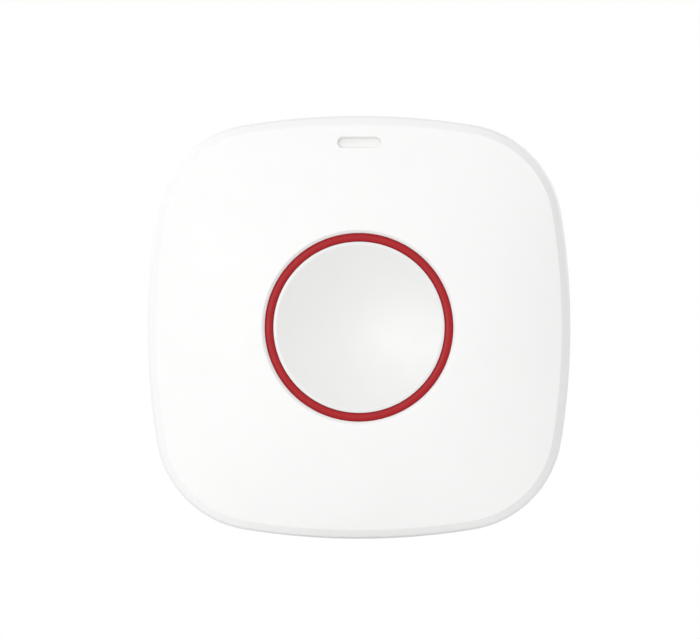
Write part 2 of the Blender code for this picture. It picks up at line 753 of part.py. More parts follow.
def make_rear_cover():
    """Back shell: side band, tongue, bracket pocket, door opening, screw wells and board posts."""
    tongue_outside = COVER_WALL + SEAT_GAP
    tongue_inside = tongue_outside + TONGUE_WALL
    rings = [
        case_ring(REAR_BAND_INSET + REAR_EDGE_CHAMFER, REAR_LIFT),
        case_ring(REAR_BAND_INSET, REAR_LIFT + REAR_EDGE_CHAMFER),
        case_ring(REAR_BAND_INSET, SHOULDER_LEVEL),
        case_ring(tongue_outside, SHOULDER_LEVEL),
        case_ring(tongue_outside, TONGUE_LEVEL),
        case_ring(tongue_inside, TONGUE_LEVEL),
        case_ring(tongue_inside, REAR_LIFT + REAR_WALL),
    ]
    cover = dress(loft("rear_cover", rings, hollow=False), UNIT, "case_white")
    rooted = REAR_LIFT + REAR_WALL / 2
    join(
        cover,
        plate("pocket_walls", [pocket_outline(REAR_WALL)], rooted, FLOOR_HIGH),
        bars("case_bosses", CASE_SCREW_PLACES, CASE_BOSS_RADIUS, rooted, SHOULDER_LEVEL),
        bars("board_posts", BOARD_SCREW_PLACES, BOARD_POST_RADIUS, rooted, UNDER_BOARD),
    )
    outside = REAR_LIFT - CUTTER_OVERRUN
    well_high = REAR_LIFT + CASE_SCREW_WELL_DEPTH
    board_screw_end = ON_BOARD - BOARD_SCREW_LENGTH - SEAT_GAP
    cut(
        cover,
        plate("pocket", [pocket_outline(0)], outside, FLOOR_LOW),
        bars("screw_wells", CASE_SCREW_PLACES, CASE_SCREW_HEAD_RADIUS + SEAT_GAP, outside, well_high),
        bars(
            "screw_holes",
            CASE_SCREW_PLACES,
            CASE_SCREW_RADIUS + THREAD_GAP,
            outside,
            SHOULDER_LEVEL + CUTTER_OVERRUN,
        ),
        bars(
            "board_screw_holes",
            BOARD_SCREW_PLACES,
            BOARD_SCREW_RADIUS + THREAD_GAP,
            board_screw_end,
            UNDER_BOARD + CUTTER_OVERRUN,
        ),
        bars(
            "door_opening",
            [(0, 0)],
            DOOR_HOLE_RADIUS,
            FLOOR_LOW - CUTTER_OVERRUN,
            FLOOR_HIGH + CUTTER_OVERRUN,
            steps=BIG_ROUND_STEPS,
        ),
        blocks(
            "lug_notches",
            [(0, 0)],
            2 * NOTCH_REACH,
            DOOR_LUG_WIDTH + 2 * SEAT_GAP,
            FLOOR_LOW - CUTTER_OVERRUN,
            FLOOR_HIGH + CUTTER_OVERRUN,
            turn=-DOOR_TURN,
        ),
        bars(
            "plunger_hole",
            [(0, PLUNGER_Y)],
            PLUNGER_HOLE_RADIUS,
            FLOOR_LOW - CUTTER_OVERRUN,
            FLOOR_HIGH + CUTTER_OVERRUN,
        ),
        *keyhole_cutters(),
    )


# Front cover and its screws

def make_front_cover():
    """Front shell: drafted wall, slanted band, crowned face, button collar and screw posts."""
    inner_inset = COVER_WALL + WALL_DRAFT
    inner_edge_inset = inner_inset + INNER_CHAMFER
    collar_radius = HOLE_RADIUS + COLLAR_WALL
    outer_shares = [1 - step / FACE_STEPS for step in range(FACE_STEPS + 1)]
    inner_shares = [step / INNER_FACE_STEPS for step in range(INNER_FACE_STEPS + 1)]
    rings = [case_ring(0, PARTING_LEVEL), case_ring(WALL_DRAFT, BAND_FOOT_LEVEL)]
    rings += [face_ring(share, LIP_RADIUS, BAND_WIDTH, 0) for share in outer_shares]
    rings += [
        round_ring(HOLE_RADIUS, LIP_LEVEL - LIP_CHAMFER),
        round_ring(HOLE_RADIUS, COLLAR_LOW),
        round_ring(collar_radius, COLLAR_LOW),
    ]
    rings += [face_ring(share, collar_radius, inner_edge_inset, COVER_WALL) for share in inner_shares]
    rings += [
        case_ring(inner_inset, FACE_EDGE_LEVEL - COVER_WALL - INNER_CHAMFER),
        case_ring(COVER_WALL, PARTING_LEVEL),
    ]
    cover = dress(loft("front_cover", rings, hollow=True), UNIT, "case_white")
    post_high = face_level(*CASE_SCREW_PLACES[0]) - COVER_WALL / 2
    join(cover, bars("posts", CASE_SCREW_PLACES, CASE_POST_RADIUS, PARTING_LEVEL, post_high))
    screw_end = CASE_SCREW_SEAT + CASE_SCREW_LENGTH + SEAT_GAP
    window = stadium(WINDOW_LENGTH, WINDOW_WIDTH, WINDOW_PLACE)
    cut(
        cover,
        bars(
            "post_holes",
            CASE_SCREW_PLACES,
            CASE_SCREW_RADIUS + THREAD_GAP,
            PARTING_LEVEL - CUTTER_OVERRUN,
            screw_end,
        ),
        plate("window", [window], FACE_EDGE_LEVEL - 2 * COVER_WALL, LIP_LEVEL + CUTTER_OVERRUN),
    )


def make_screws(name, mesh, places, level, turn):
    """Copies of one screw. A turn of half a circle points its head at the wall."""
    for number, (x, y) in enumerate(places, start=1):
        screw = dress(bpy.data.objects.new(f"{name}_{number}", mesh), UNIT, "screw_steel")
        screw.location = (x, y, level)
        screw.rotation_euler.x = turn


def make_case_screws():
    mesh = screw_mesh(
        "case_screw", CASE_SCREW_RADIUS, CASE_SCREW_LENGTH, CASE_SCREW_HEAD_RADIUS, CASE_SCREW_HEAD_HEIGHT
    )
    make_screws("case_screw", mesh, CASE_SCREW_PLACES, CASE_SCREW_SEAT, math.pi)


# Circuit board and what it carries

def board_place(shares):
    return (shares[0] * BOARD_REACH, shares[1] * BOARD_REACH)


def make_circuit_board():
    """A board with room round the front cover's posts, and holes for its own screws."""
    outline = plate("circuit_board", [case_outline(BOARD_INSET)], BOARD_LOW, BOARD_HIGH)
    board = dress(outline, UNIT, "board_green")
    low = BOARD_LOW - CUTTER_OVERRUN
    high = BOARD_HIGH + CUTTER_OVERRUN
    cut(
        board,
        bars("post_room", CASE_SCREW_PLACES, CASE_POST_RADIUS + SLIDE_GAP, low, high),
        bars("screw_room", BOARD_SCREW_PLACES, BOARD_SCREW_RADIUS + SEAT_GAP, low, high),
    )


def make_board_screws():
    mesh = screw_mesh(
        "board_screw",
        BOARD_SCREW_RADIUS,
        BOARD_SCREW_LENGTH,
        BOARD_SCREW_HEAD_RADIUS,
        BOARD_SCREW_HEAD_HEIGHT,
    )
    make_screws("board_screw", mesh, BOARD_SCREW_PLACES, ON_BOARD, 0)


def make_antenna_coil():
    antenna = coil(
        "antenna_coil",
        ANTENNA_RADIUS,
        ANTENNA_WIRE_RADIUS,
        ANTENNA_TURNS,
        ANTENNA_LENGTH,
        ANTENNA_TURN_STEPS,
    )
    dress(antenna, UNIT, "antenna_brass")
    height = ON_BOARD + ANTENNA_RADIUS + ANTENNA_WIRE_RADIUS
    antenna.location = (ANTENNA_EDGE - BOARD_REACH, ANTENNA_LENGTH / 2, height)
    antenna.rotation_euler.x = math.pi / 2


def make_rf_shield():
    """A sheet metal lid over the radio, open towards the board."""
    shape = bmesh.new()
    x, y = board_place(SHIELD_PLACE_SHARES)
    place = Matrix.Translation((x, y, ON_BOARD + SHIELD_HEIGHT / 2))
    size = Matrix.Diagonal((SHIELD_WIDTH, SHIELD_LENGTH, SHIELD_HEIGHT, 1))
    bmesh.ops.create_cube(shape, size=1, matrix=place @ size)
    rises = {edge: abs(edge.verts[0].co.z - edge.verts[1].co.z) for edge in shape.edges}
    upright = [edge for edge, rise in rises.items() if rise > SHIELD_HEIGHT / 2]
    bmesh.ops.bevel(
        shape,
        geom=upright,
        offset=SHIELD_CORNER,
        segments=SHEET_CORNER_STEPS,
        affect="EDGES",
        profile=ROUND_PROFILE_SHARE,
    )
    middle = ON_BOARD + SHIELD_HEIGHT / 2
    underside = [face for face in shape.faces if all(point.co.z < middle for point in face.verts)]
    bmesh.ops.delete(shape, geom=underside, context="FACES_ONLY")
    shield = dress(mesh_object("rf_shield", shape), UNIT, "contact_nickel")
    sheet = shield.modifiers.new("sheet", "SOLIDIFY")
    sheet.thickness = SHIELD_SHEET
    sheet.offset = -1
    sheet.use_even_offset = True


def make_controller_chip():
    place = board_place(SHIELD_PLACE_SHARES)
    chip = blocks("controller_chip", [place], CHIP_SIDE, CHIP_SIDE, ON_BOARD, ON_BOARD + CHIP_HEIGHT)
    dress(chip, UNIT, "black_plastic")
    round_edges(chip, CHIP_EDGE)


def make_bulk_capacitor():
    """A metal can with the groove that crimps it."""
    high = ON_BOARD + CAPACITOR_HEIGHT
    waist = CAPACITOR_RADIUS - CAPACITOR_GROOVE
    waist_level = ON_BOARD + CAPACITOR_GROOVE_RISE
    profile = [
        (0, high),
        (CAPACITOR_RADIUS - CAPACITOR_EDGE, high),
        (CAPACITOR_RADIUS, high - CAPACITOR_EDGE),
        (CAPACITOR_RADIUS, waist_level + CAPACITOR_GROOVE),
        (waist, waist_level),
        (CAPACITOR_RADIUS, waist_level - CAPACITOR_GROOVE),
        (CAPACITOR_RADIUS, ON_BOARD),
        (0, ON_BOARD),
    ]
    can = turned("bulk_capacitor", profile, steps=SMALL_ROUND_STEPS)
    dress(can, UNIT, "capacitor_aluminium")
    can.location.x = CAPACITOR_PLACE_SHARES[0] * CASE_SCREW_X
    can.location.y = CAPACITOR_PLACE_SHARES[1] * CASE_SCREW_SPACING / 2


def make_crystal():
    place = board_place(CRYSTAL_PLACE_SHARES)
    rim = stadium(CRYSTAL_LENGTH + 2 * CRYSTAL_RIM, CRYSTAL_WIDTH + 2 * CRYSTAL_RIM, place)
    can = stadium(CRYSTAL_LENGTH, CRYSTAL_WIDTH, place)
    rim_high = ON_BOARD + CRYSTAL_RIM_THICKNESS
    crystal = dress(plate("crystal", [rim], ON_BOARD, rim_high), UNIT, "contact_nickel")
    join(crystal, plate("crystal_can", [can], (ON_BOARD + rim_high) / 2, ON_BOARD + CRYSTAL_HEIGHT))


# Status light

def make_status_led():
    led = blocks("status_led", [WINDOW_PLACE], LED_LENGTH, LED_WIDTH, ON_BOARD, ON_BOARD + LED_HEIGHT)
    dress(led, UNIT, "frosted_lens")
    round_edges(led, LED_EDGE)


def make_light_pipe():
    """A frosted bar that fills the window, its end sloping as the face does, with a flange behind."""
    length = WINDOW_LENGTH - 2 * WINDOW_GAP
    width = WINDOW_WIDTH - 2 * WINDOW_GAP
    outline = stadium(length, width, WINDOW_PLACE)
    low_ring = [(x, y, ON_BOARD + LED_HEIGHT + SEAT_GAP) for x, y in outline]
    high_ring = [(x, y, face_level(x, y) - WINDOW_RECESS) for x, y in outline]
    flange_edge = WINDOW_PLACE[1] + width / 2 + PIPE_FLANGE
    flange_high = face_level(0, flange_edge) - COVER_WALL - SEAT_GAP
    flange = stadium(length + 2 * PIPE_FLANGE, width + 2 * PIPE_FLANGE, WINDOW_PLACE)
    pipe = dress(loft("light_pipe", [low_ring, high_ring], hollow=False), UNIT, "frosted_lens")
    join(pipe, plate("pipe_flange", [flange], flange_high - PIPE_FLANGE_THICKNESS, flange_high))


# Coin cell, holder, contacts and door

def make_coin_cell():
    can_high = CELL_HIGH - CELL_STEP
    profile = [
        (0, CELL_HIGH),
        (CELL_RADIUS - CELL_EDGE - CELL_STEP, CELL_HIGH),
        (CELL_RADIUS - CELL_EDGE, can_high),
        (CELL_RADIUS - CELL_STEP, can_high),
        (CELL_RADIUS, can_high - CELL_STEP),
        (CELL_RADIUS, CELL_LOW + CELL_STEP),
        (CELL_RADIUS - CELL_STEP, CELL_LOW),
        (0, CELL_LOW),
    ]
    dress(turned("coin_cell", profile), UNIT, "cell_steel")


def make_battery_holder():
    """A ring round the cell, open at the right for the side contact."""
    inside = CELL_RADIUS + SEAT_GAP
    profile = [
        (inside, UNDER_BOARD),
        (HOLDER_RADIUS, UNDER_BOARD),
        (HOLDER_RADIUS, HOLDER_LOW),
        (inside, HOLDER_LOW),
    ]
    holder = dress(turned("battery_holder", profile, closed=True), UNIT, "black_plastic")
    gap = blocks(
        "contact_gap",
        [(HOLDER_RADIUS, 0)],
        2 * HOLDER_WALL + 2 * SEAT_GAP,
        CONTACT_WIDTH + 2 * SEAT_GAP,
        HOLDER_LOW - CUTTER_OVERRUN,
        UNDER_BOARD + CUTTER_OVERRUN,
    )
    cut(holder, gap)


def make_positive_contact():
    """A bent strip beside the cell, with its foot under the board."""
    near = CELL_RADIUS + SEAT_GAP
    far = near + CONTACT_SHEET
    outline = [
        (near, HOLDER_LOW),
        (far, HOLDER_LOW),
        (far, UNDER_BOARD - CONTACT_SHEET),
        (far + CONTACT_FOOT, UNDER_BOARD - CONTACT_SHEET),
        (far + CONTACT_FOOT, UNDER_BOARD),
        (near, UNDER_BOARD),
    ]
    dress(side_cut("positive_contact", outline, CONTACT_WIDTH), UNIT, "contact_nickel")


def make_negative_contact():
    """A leaf under the board that bows down to the cell's cap."""
    bow = CELL_HIGH + SEAT_GAP
    foot = UNDER_BOARD - CONTACT_SHEET
    outline = [
        (-LEAF_LENGTH / 2, foot),
        (-LEAF_LENGTH / 3, foot),
        (-LEAF_LENGTH / 6, bow),
        (LEAF_LENGTH / 6, bow),
        (LEAF_LENGTH / 3, foot),
        (LEAF_LENGTH / 2, foot),
        (LEAF_LENGTH / 2, UNDER_BOARD),
        (LEAF_LENGTH / 3, UNDER_BOARD),
        (LEAF_LENGTH / 6, bow + CONTACT_SHEET),
        (-LEAF_LENGTH / 6, bow + CONTACT_SHEET),
        (-LEAF_LENGTH / 3, UNDER_BOARD),
        (-LEAF_LENGTH / 2, UNDER_BOARD),
    ]
    dress(side_cut("negative_contact", outline, CONTACT_WIDTH), UNIT, "contact_nickel")


def make_battery_door():
    """A round door with a rim, two bayonet lugs above the floor, and a coin slot in its back."""
    frame = new_frame("battery_door_axis", UNIT)
    rim_inside = CELL_RADIUS + SEAT_GAP
    profile = [
        (0, FLOOR_HIGH),
        (rim_inside, FLOOR_HIGH),
        (rim_inside, DOOR_RIM_HIGH),
        (DOOR_RADIUS, DOOR_RIM_HIGH),
        (DOOR_RADIUS, FLOOR_LOW),
        (0, FLOOR_LOW),
    ]
    door = dress(turned("battery_door", profile), frame, "case_white")
    lug_root = DOOR_RADIUS - DOOR_RIM_WALL / 2
    lug_middle = (lug_root + LUG_REACH) / 2
    lugs = blocks(
        "lugs",
        [(-lug_middle, 0), (lug_middle, 0)],
        LUG_REACH - lug_root,
        DOOR_LUG_WIDTH,
        FLOOR_HIGH + SEAT_GAP,
        LUG_HIGH,
    )
    join(door, lugs)
    slot = stadium(COIN_SLOT_LENGTH, COIN_SLOT_WIDTH)
    cut(door, plate("coin_slot", [slot], FLOOR_LOW - CUTTER_OVERRUN, FLOOR_LOW + COIN_SLOT_DEPTH))


# Tamper switch, plunger and spring

def make_tamper_switch():
    """A small switch beside the plunger, whose nib rides on the plunger's flange."""
    near = TAMPER_SPRING_RADIUS + TAMPER_WIRE_RADIUS + SEAT_GAP
    nib_low = PLUNGER_FLANGE_HIGH + SEAT_GAP
    low = nib_low + TAMPER_NIB_HEIGHT
    place = (near + TAMPER_SWITCH_WIDTH / 2, PLUNGER_Y)
    body = blocks(
        "tamper_switch", [place], TAMPER_SWITCH_WIDTH, TAMPER_SWITCH_LENGTH, low, UNDER_BOARD
    )
    switch = dress(body, UNIT, "black_plastic")
    nib_place = (near + 2 * TAMPER_NIB_RADIUS, PLUNGER_Y)
    join(switch, bars("nib", [nib_place], TAMPER_NIB_RADIUS, nib_low, low + TAMPER_NIB_HEIGHT))


def make_tamper_plunger():
    """A flanged pin that stands on the bracket through a hole in the rear cover."""
    frame = new_frame("tamper_axis", UNIT, (0, PLUNGER_Y, 0))
    tip_low = BRACKET_THICKNESS + SEAT_GAP
    stem_high = (PLUNGER_FLANGE_HIGH + UNDER_BOARD) / 2
    profile = [
        (0, stem_high),
        (PLUNGER_STEM_RADIUS, stem_high),
        (PLUNGER_STEM_RADIUS, PLUNGER_FLANGE_HIGH),
        (PLUNGER_FLANGE_RADIUS, PLUNGER_FLANGE_HIGH),
        (PLUNGER_FLANGE_RADIUS, PLUNGER_FLANGE_LOW),
        (PLUNGER_TIP_RADIUS, PLUNGER_FLANGE_LOW),
        (PLUNGER_TIP_RADIUS, tip_low),
        (0, tip_low),
    ]
    dress(turned("tamper_plunger", profile, steps=SMALL_ROUND_STEPS), frame, "carrier_grey")


def make_tamper_spring():
    low = PLUNGER_FLANGE_HIGH + SEAT_GAP
    length = UNDER_BOARD - low
    spring = coil(
        "tamper_spring", TAMPER_SPRING_RADIUS, TAMPER_WIRE_RADIUS, TAMPER_SPRING_TURNS, length
    )
    dress(spring, UNIT, "spring_steel")
    spring.location = (0, PLUNGER_Y, low)


# Push switch, spring and button

def make_switch():
    """The switch's housing, and the stem that the button pushes."""
    body = blocks("switch_body", [(0, 0)], SWITCH_SIDE, SWITCH_SIDE, ON_BOARD, SWITCH_HIGH)
    dress(body, UNIT, "black_plastic")
    round_edges(body, SWITCH_EDGE)
    well_low = ON_BOARD + SWITCH_FLOOR
    cut(
        body,
        bars("stem_well", [(0, 0)], STEM_RADIUS + THREAD_GAP, well_low, SWITCH_HIGH + CUTTER_OVERRUN),
    )
    frame = new_frame("stem_axis", UNIT)
    stem_low = well_low + BUTTON_TRAVEL + SEAT_GAP
    stem = bars("switch_stem", [(0, 0)], STEM_RADIUS, stem_low, STEM_HIGH)
    dress(stem, frame, "carrier_grey")


def make_return_spring():
    """The button's spring, on a seat whose collar keeps it in the middle."""
    seat_profile = [
        (SEAT_INNER_RADIUS, SEAT_HIGH + SEAT_COLLAR_HEIGHT),
        (SEAT_COLLAR_RADIUS, SEAT_HIGH + SEAT_COLLAR_HEIGHT),
        (SEAT_COLLAR_RADIUS, SEAT_HIGH),
        (SEAT_RADIUS, SEAT_HIGH),
        (SEAT_RADIUS, ON_BOARD),
        (SEAT_INNER_RADIUS, ON_BOARD),
    ]
    seat = turned("spring_seat", seat_profile, closed=True, steps=2 * SMALL_ROUND_STEPS)
    dress(seat, UNIT, "carrier_grey")
    low = SEAT_HIGH + SEAT_GAP
    length = CARRIER_LOW - SEAT_GAP - low
    spring = coil("return_spring", SPRING_RADIUS, SPRING_WIRE_RADIUS, SPRING_TURNS, length)
    dress(spring, UNIT, "spring_steel")
    spring.location.z = low


def make_button():
    """Carrier with its flange under the collar, the red ring, and the dished cap."""
    frame = new_frame("button_axis", UNIT)
    flange_radius = HOLE_RADIUS + CARRIER_FLANGE
    ring_inside = BUTTON_RADIUS - RING_WIDTH
    rim_high = RING_LOW - SEAT_GAP
    carrier_profile = [
        (0, CARRIER_HIGH),
        (ring_inside, CARRIER_HIGH),
        (ring_inside, rim_high),
        (BUTTON_RADIUS, rim_high),
        (BUTTON_RADIUS, CARRIER_HIGH),
        (flange_radius, CARRIER_HIGH),
        (flange_radius, CARRIER_LOW),
        (0, CARRIER_LOW),
    ]
    dress(turned("button_carrier", carrier_profile), frame, "carrier_grey")
    ring_profile = [
        (ring_inside, CAP_HIGH - RING_EDGE),
        (ring_inside + RING_EDGE, CAP_HIGH),
        (BUTTON_RADIUS - RING_EDGE, CAP_HIGH),
        (BUTTON_RADIUS, CAP_HIGH - RING_EDGE),
        (BUTTON_RADIUS, RING_LOW),
        (ring_inside, RING_LOW),
    ]
    dress(turned("red_ring", ring_profile, closed=True), frame, "ring_red")
    dish_radius = CAP_RADIUS - CAP_RIM
    ball_radius = (dish_radius**2 + DISH_DEPTH**2) / (2 * DISH_DEPTH)
    radii = [dish_radius * step / DISH_STEPS for step in range(DISH_STEPS + 1)]
    cap_profile = [
        (radius, DISH_LEVEL + ball_radius - math.sqrt(ball_radius**2 - radius**2)) for radius in radii
    ]
    cap_profile += [
        (CAP_RADIUS, CAP_HIGH - CAP_RIM_FALL),
        (CAP_RADIUS, CAP_LOW),
        (CAP_RADIUS - CAP_SKIRT_WALL, CAP_LOW),
        (CAP_RADIUS - CAP_SKIRT_WALL, CAP_UNDERSIDE),
        (0, CAP_UNDERSIDE),
    ]
    dress(turned("button_cap", cap_profile), frame, "cap_white")


clear_scene()
PIECES = new_collection("wireless_panic_button")
CUTTERS = new_collection("cutters")
MATERIALS = {name: new_material(name, *values) for name, values in FINISHES.items()}
BENCH = new_frame("bench")
BENCH.rotation_euler.x = math.pi / 2
UNIT = new_frame("unit", BENCH)

make_wall_bracket()
make_rear_cover()
make_front_cover()
make_case_screws()
make_circuit_board()
make_board_screws()
make_antenna_coil()
make_rf_shield()
make_controller_chip()
make_bulk_capacitor()
make_crystal()
make_status_led()
make_light_pipe()
make_coin_cell()
make_battery_holder()
make_positive_contact()
make_negative_contact()
make_battery_door()
make_tamper_switch()
make_tamper_plunger()
make_tamper_spring()
make_switch()
make_return_spring()
make_button()

for solid in PIECES.objects:
    if solid.type == "MESH":
        shade(solid)
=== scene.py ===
"""Looks of the wireless panic button: shells, button, wall plate and works, materials, light and camera.

Pieces are drawn on a bench, in x, y and level above the wall, and then turned to stand in the frame.
"""

import math

import bmesh
import bpy
from mathutils import Matrix, Vector


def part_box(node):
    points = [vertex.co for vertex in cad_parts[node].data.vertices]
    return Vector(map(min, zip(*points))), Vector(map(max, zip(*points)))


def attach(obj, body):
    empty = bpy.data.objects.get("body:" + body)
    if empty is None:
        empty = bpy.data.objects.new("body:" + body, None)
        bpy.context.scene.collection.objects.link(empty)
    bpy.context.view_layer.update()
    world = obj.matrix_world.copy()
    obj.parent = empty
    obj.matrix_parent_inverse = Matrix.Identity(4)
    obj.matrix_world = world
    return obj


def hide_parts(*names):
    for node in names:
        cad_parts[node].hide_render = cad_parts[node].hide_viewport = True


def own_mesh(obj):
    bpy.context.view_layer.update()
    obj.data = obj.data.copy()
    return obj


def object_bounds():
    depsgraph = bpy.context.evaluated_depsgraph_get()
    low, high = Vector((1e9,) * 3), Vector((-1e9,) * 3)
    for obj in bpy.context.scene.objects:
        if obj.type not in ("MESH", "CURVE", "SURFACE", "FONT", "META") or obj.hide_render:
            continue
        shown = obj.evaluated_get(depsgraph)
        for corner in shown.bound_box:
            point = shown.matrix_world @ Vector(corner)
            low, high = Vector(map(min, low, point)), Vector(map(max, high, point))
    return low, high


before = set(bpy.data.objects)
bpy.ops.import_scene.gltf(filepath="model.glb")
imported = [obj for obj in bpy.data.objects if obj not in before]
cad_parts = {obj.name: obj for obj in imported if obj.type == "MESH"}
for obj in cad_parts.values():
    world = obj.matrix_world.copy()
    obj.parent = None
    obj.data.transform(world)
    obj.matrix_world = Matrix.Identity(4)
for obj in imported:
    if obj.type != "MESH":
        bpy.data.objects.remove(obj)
CAD_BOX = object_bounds()

MM = 0.001
BENCH_TO_FRAME = Matrix.Rotation(math.pi / 2, 4, "X")
FRAME_TO_BENCH = BENCH_TO_FRAME.inverted()


# Where the frame's nodes lie on the bench

def levels(node):
    """The node's lowest and highest level above the wall."""
    low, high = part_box(node)
    return -high.y, -low.y


def middle(node):
    """The node's place, seen from the front."""
    low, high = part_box(node)
    return (low.x + high.x) / 2, (low.z + high.z) / 2


def extent(node):
    """The node's width and height, seen from the front."""
    low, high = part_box(node)
    return high.x - low.x, high.z - low.z


def measures(node):
    """The node's middle, its width and height, and its levels."""
    return middle(node), extent(node), levels(node)


# Smoothness of the shapes
SIDE_STEPS = 24
CORNER_STEPS = 16
FACE_STEPS = 26
INNER_FACE_STEPS = 6
ROUND_STEPS = 224
MIDDLING_ROUND_STEPS = 96
SMALL_ROUND_STEPS = 40
ROUNDING_STEPS = 5
DISH_STEPS = 24
COIL_TURN_STEPS = 40
WIRE_STEPS = 12
MERGE_DISTANCE = 0.001 * MM
SHARP_ANGLE = math.radians(35.0)

# Gaps between the pieces, roundings of the small ones, and how far a cutter runs past what it cuts
SEAT_GAP = 0.3 * MM
SLIDE_GAP = 0.4 * MM
RING_GAP = 0.04 * MM
CAP_GAP = 0.02 * MM
SCREW_ROOM = 0.1 * MM
FINE_ROUNDING = 0.15 * MM
SOFT_ROUNDING = 0.3 * MM
OVERRUN = 1.0 * MM

# Case outline: four bowed sides joined by four corner arcs
HALF_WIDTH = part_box("front_cover")[1].x
SIDE_RADIUS = 134.0 * MM
CORNER_RADIUS = 20.0 * MM
SIDE_OFFSET = SIDE_RADIUS - HALF_WIDTH
SIDE_CENTRE = (-SIDE_OFFSET, 0)
CENTRES_APART = SIDE_RADIUS - CORNER_RADIUS
CORNER_OFFSET = (math.sqrt(2 * CENTRES_APART**2 - SIDE_OFFSET**2) - SIDE_OFFSET) / 2
CORNER_CENTRE = (CORNER_OFFSET, CORNER_OFFSET)
SIDE_SWEEP = math.asin(CORNER_OFFSET / CENTRES_APART)

# Front shell
PARTING_LEVEL, LIP_LEVEL = levels("front_cover")
COVER_WALL = 2.0 * MM
WALL_DRAFT = 0.35 * MM
BAND_WIDTH = 1.65 * MM
BAND_HEIGHT = 1.55 * MM
FACE_DROP = 5.0 * MM
CROWN_POWER = 3.0
INNER_CHAMFER = 0.3 * MM
COLLAR_WALL = 1.3 * MM
FOOT_ROUNDING = 0.2 * MM
BAND_FOOT_ROUNDING = 0.3 * MM
BAND_EDGE_ROUNDING = 0.12 * MM
LIP_RADIUS = 18.45 * MM
LIP_CHAMFER = 0.60 * MM
LIP_ROUNDING = 0.12 * MM
HOLE_RADIUS = 17.84 * MM
FACE_EDGE_LEVEL = LIP_LEVEL - FACE_DROP
BAND_FOOT_LEVEL = FACE_EDGE_LEVEL - BAND_HEIGHT
EDGE_REACH = HALF_WIDTH - BAND_WIDTH
LIP_SHARE = LIP_RADIUS / EDGE_REACH

# Button
RING_LOW, BUTTON_HIGH = levels("red_ring")
RING_RADIUS = HOLE_RADIUS - RING_GAP
RING_WIDTH = 1.58 * MM
RING_ROUNDING = 0.42 * MM
RING_CROWN = 0.10 * MM
CAP_RADIUS = RING_RADIUS - RING_WIDTH - CAP_GAP
CAP_LOW = levels("button_cap")[0]
CAP_SKIRT_DEPTH = 0.6 * MM
CAP_SKIRT_WALL = 1.2 * MM
CAP_THICKNESS = 1.2 * MM
DISH_DEPTH = 1.9 * MM
CAP_RIM = 0.55 * MM
CAP_RIM_ROUNDING = 0.12 * MM
CAP_RIM_FALL = 0.04 * MM

# Status window
WINDOW_LENGTH = 8.3 * MM
WINDOW_WIDTH = 2.2 * MM
WINDOW_INSET = 5.0 * MM
WINDOW_RECESS = 1.13 * MM
WINDOW_GAP = 0.15 * MM
WINDOW_ROOM = 0.02 * MM
WINDOW_NARROWING = 0.21 * MM
WINDOW_LEAN = (0.19 * MM, -0.19 * MM)
WINDOW_SEAT_DEPTH = 1.10 * MM
WINDOW_FLANGE = 0.7 * MM
WINDOW_FLANGE_THICKNESS = 0.8 * MM
WINDOW_PLACE = (0, HALF_WIDTH - WINDOW_INSET)

# Wall plate, its hooks and the ramp for the tamper plunger
PLATE_WIDTH, PLATE_HEIGHT = extent("wall_bracket")
PLATE_THICKNESS = 2.0 * MM
PLATE_CORNER = 4.0 * MM
PLATE_ROUNDING = 0.35 * MM
UNIT_TRAVEL = 6.0 * MM
HOOK_HEAD_WIDTH = 5.0 * MM
HOOK_NECK_WIDTH = 2.2 * MM
HOOK_HEIGHT = 4.0 * MM
HOOK_X = 18.25 * MM
HOOK_ROWS = (17.0 * MM, -10.0 * MM)
HOOK_PLACES = [(side * HOOK_X, row) for row in HOOK_ROWS for side in (-1, 1)]
WALL_SCREW_RADIUS = 1.9 * MM
WALL_SCREW_SINK = 1.2 * MM
WALL_SCREW_PLACE = (0, 16.5 * MM)
WALL_SLOT_LENGTH = 8.0 * MM
WALL_SLOT_X = 10.0 * MM
WALL_SLOT_Y = -12.5 * MM
PLUNGER_PLACE = middle("tamper_plunger")
PLUNGER_TIP_RADIUS = 1.3 * MM
PLUNGER_HOLE_RADIUS = PLUNGER_TIP_RADIUS + SLIDE_GAP
PLUNGER_TRAVEL = 1.2 * MM

# Rear shell
REAR_LEVEL = levels("rear_cover")[0]
REAR_INSET = 0.5 * MM
REAR_WALL = 1.6 * MM
REAR_ROUNDING = 0.55 * MM
SHUT_LINE = 0.14 * MM
TONGUE_LEVEL = 6.6 * MM
TONGUE_WALL = 1.1 * MM
FLOOR_LOW = PLATE_THICKNESS + SLIDE_GAP
FLOOR_HIGH = FLOOR_LOW + REAR_WALL
POCKET_ROUNDING = 0.4 * MM
HOOK_HEAD_LOW = FLOOR_HIGH + SEAT_GAP
HOOK_HEAD_HIGH = levels("wall_bracket")[1]

# Screws and their posts
CASE_SCREWS = [f"case_screw_{number}" for number in (1, 2, 3, 4)]
CASE_SCREW_RADIUS = 1.2 * MM
CASE_HOLE_RADIUS = CASE_SCREW_RADIUS + SCREW_ROOM
CASE_SCREW_HEAD_HEIGHT = 1.5 * MM
CASE_SCREW_WELL_DEPTH = 2.2 * MM
CASE_POST_RADIUS = 3.2 * MM
CASE_BOSS_RADIUS = 3.5 * MM
BOARD_SCREWS = [f"board_screw_{number}" for number in (1, 2, 3)]
BOARD_SCREW_RADIUS = 1.0 * MM
BOARD_SCREW_HEAD_HEIGHT = 1.3 * MM
BOARD_POST_RADIUS = 2.5 * MM
SCREW_CROWN_STEPS = 6
SCREW_EDGE = 0.12 * MM
SCREW_CROWN_SHARE = 0.5
SCREW_FLAT_SHARE = 0.45
RECESS_LENGTH_SHARE = 1.17
RECESS_WIDTH_SHARE = 0.27
RECESS_DEPTH_SHARE = 0.63
RECESS_TAPER_SHARE = 0.55
THREAD_PITCH = 0.8 * MM
THREAD_DEPTH = 0.18 * MM
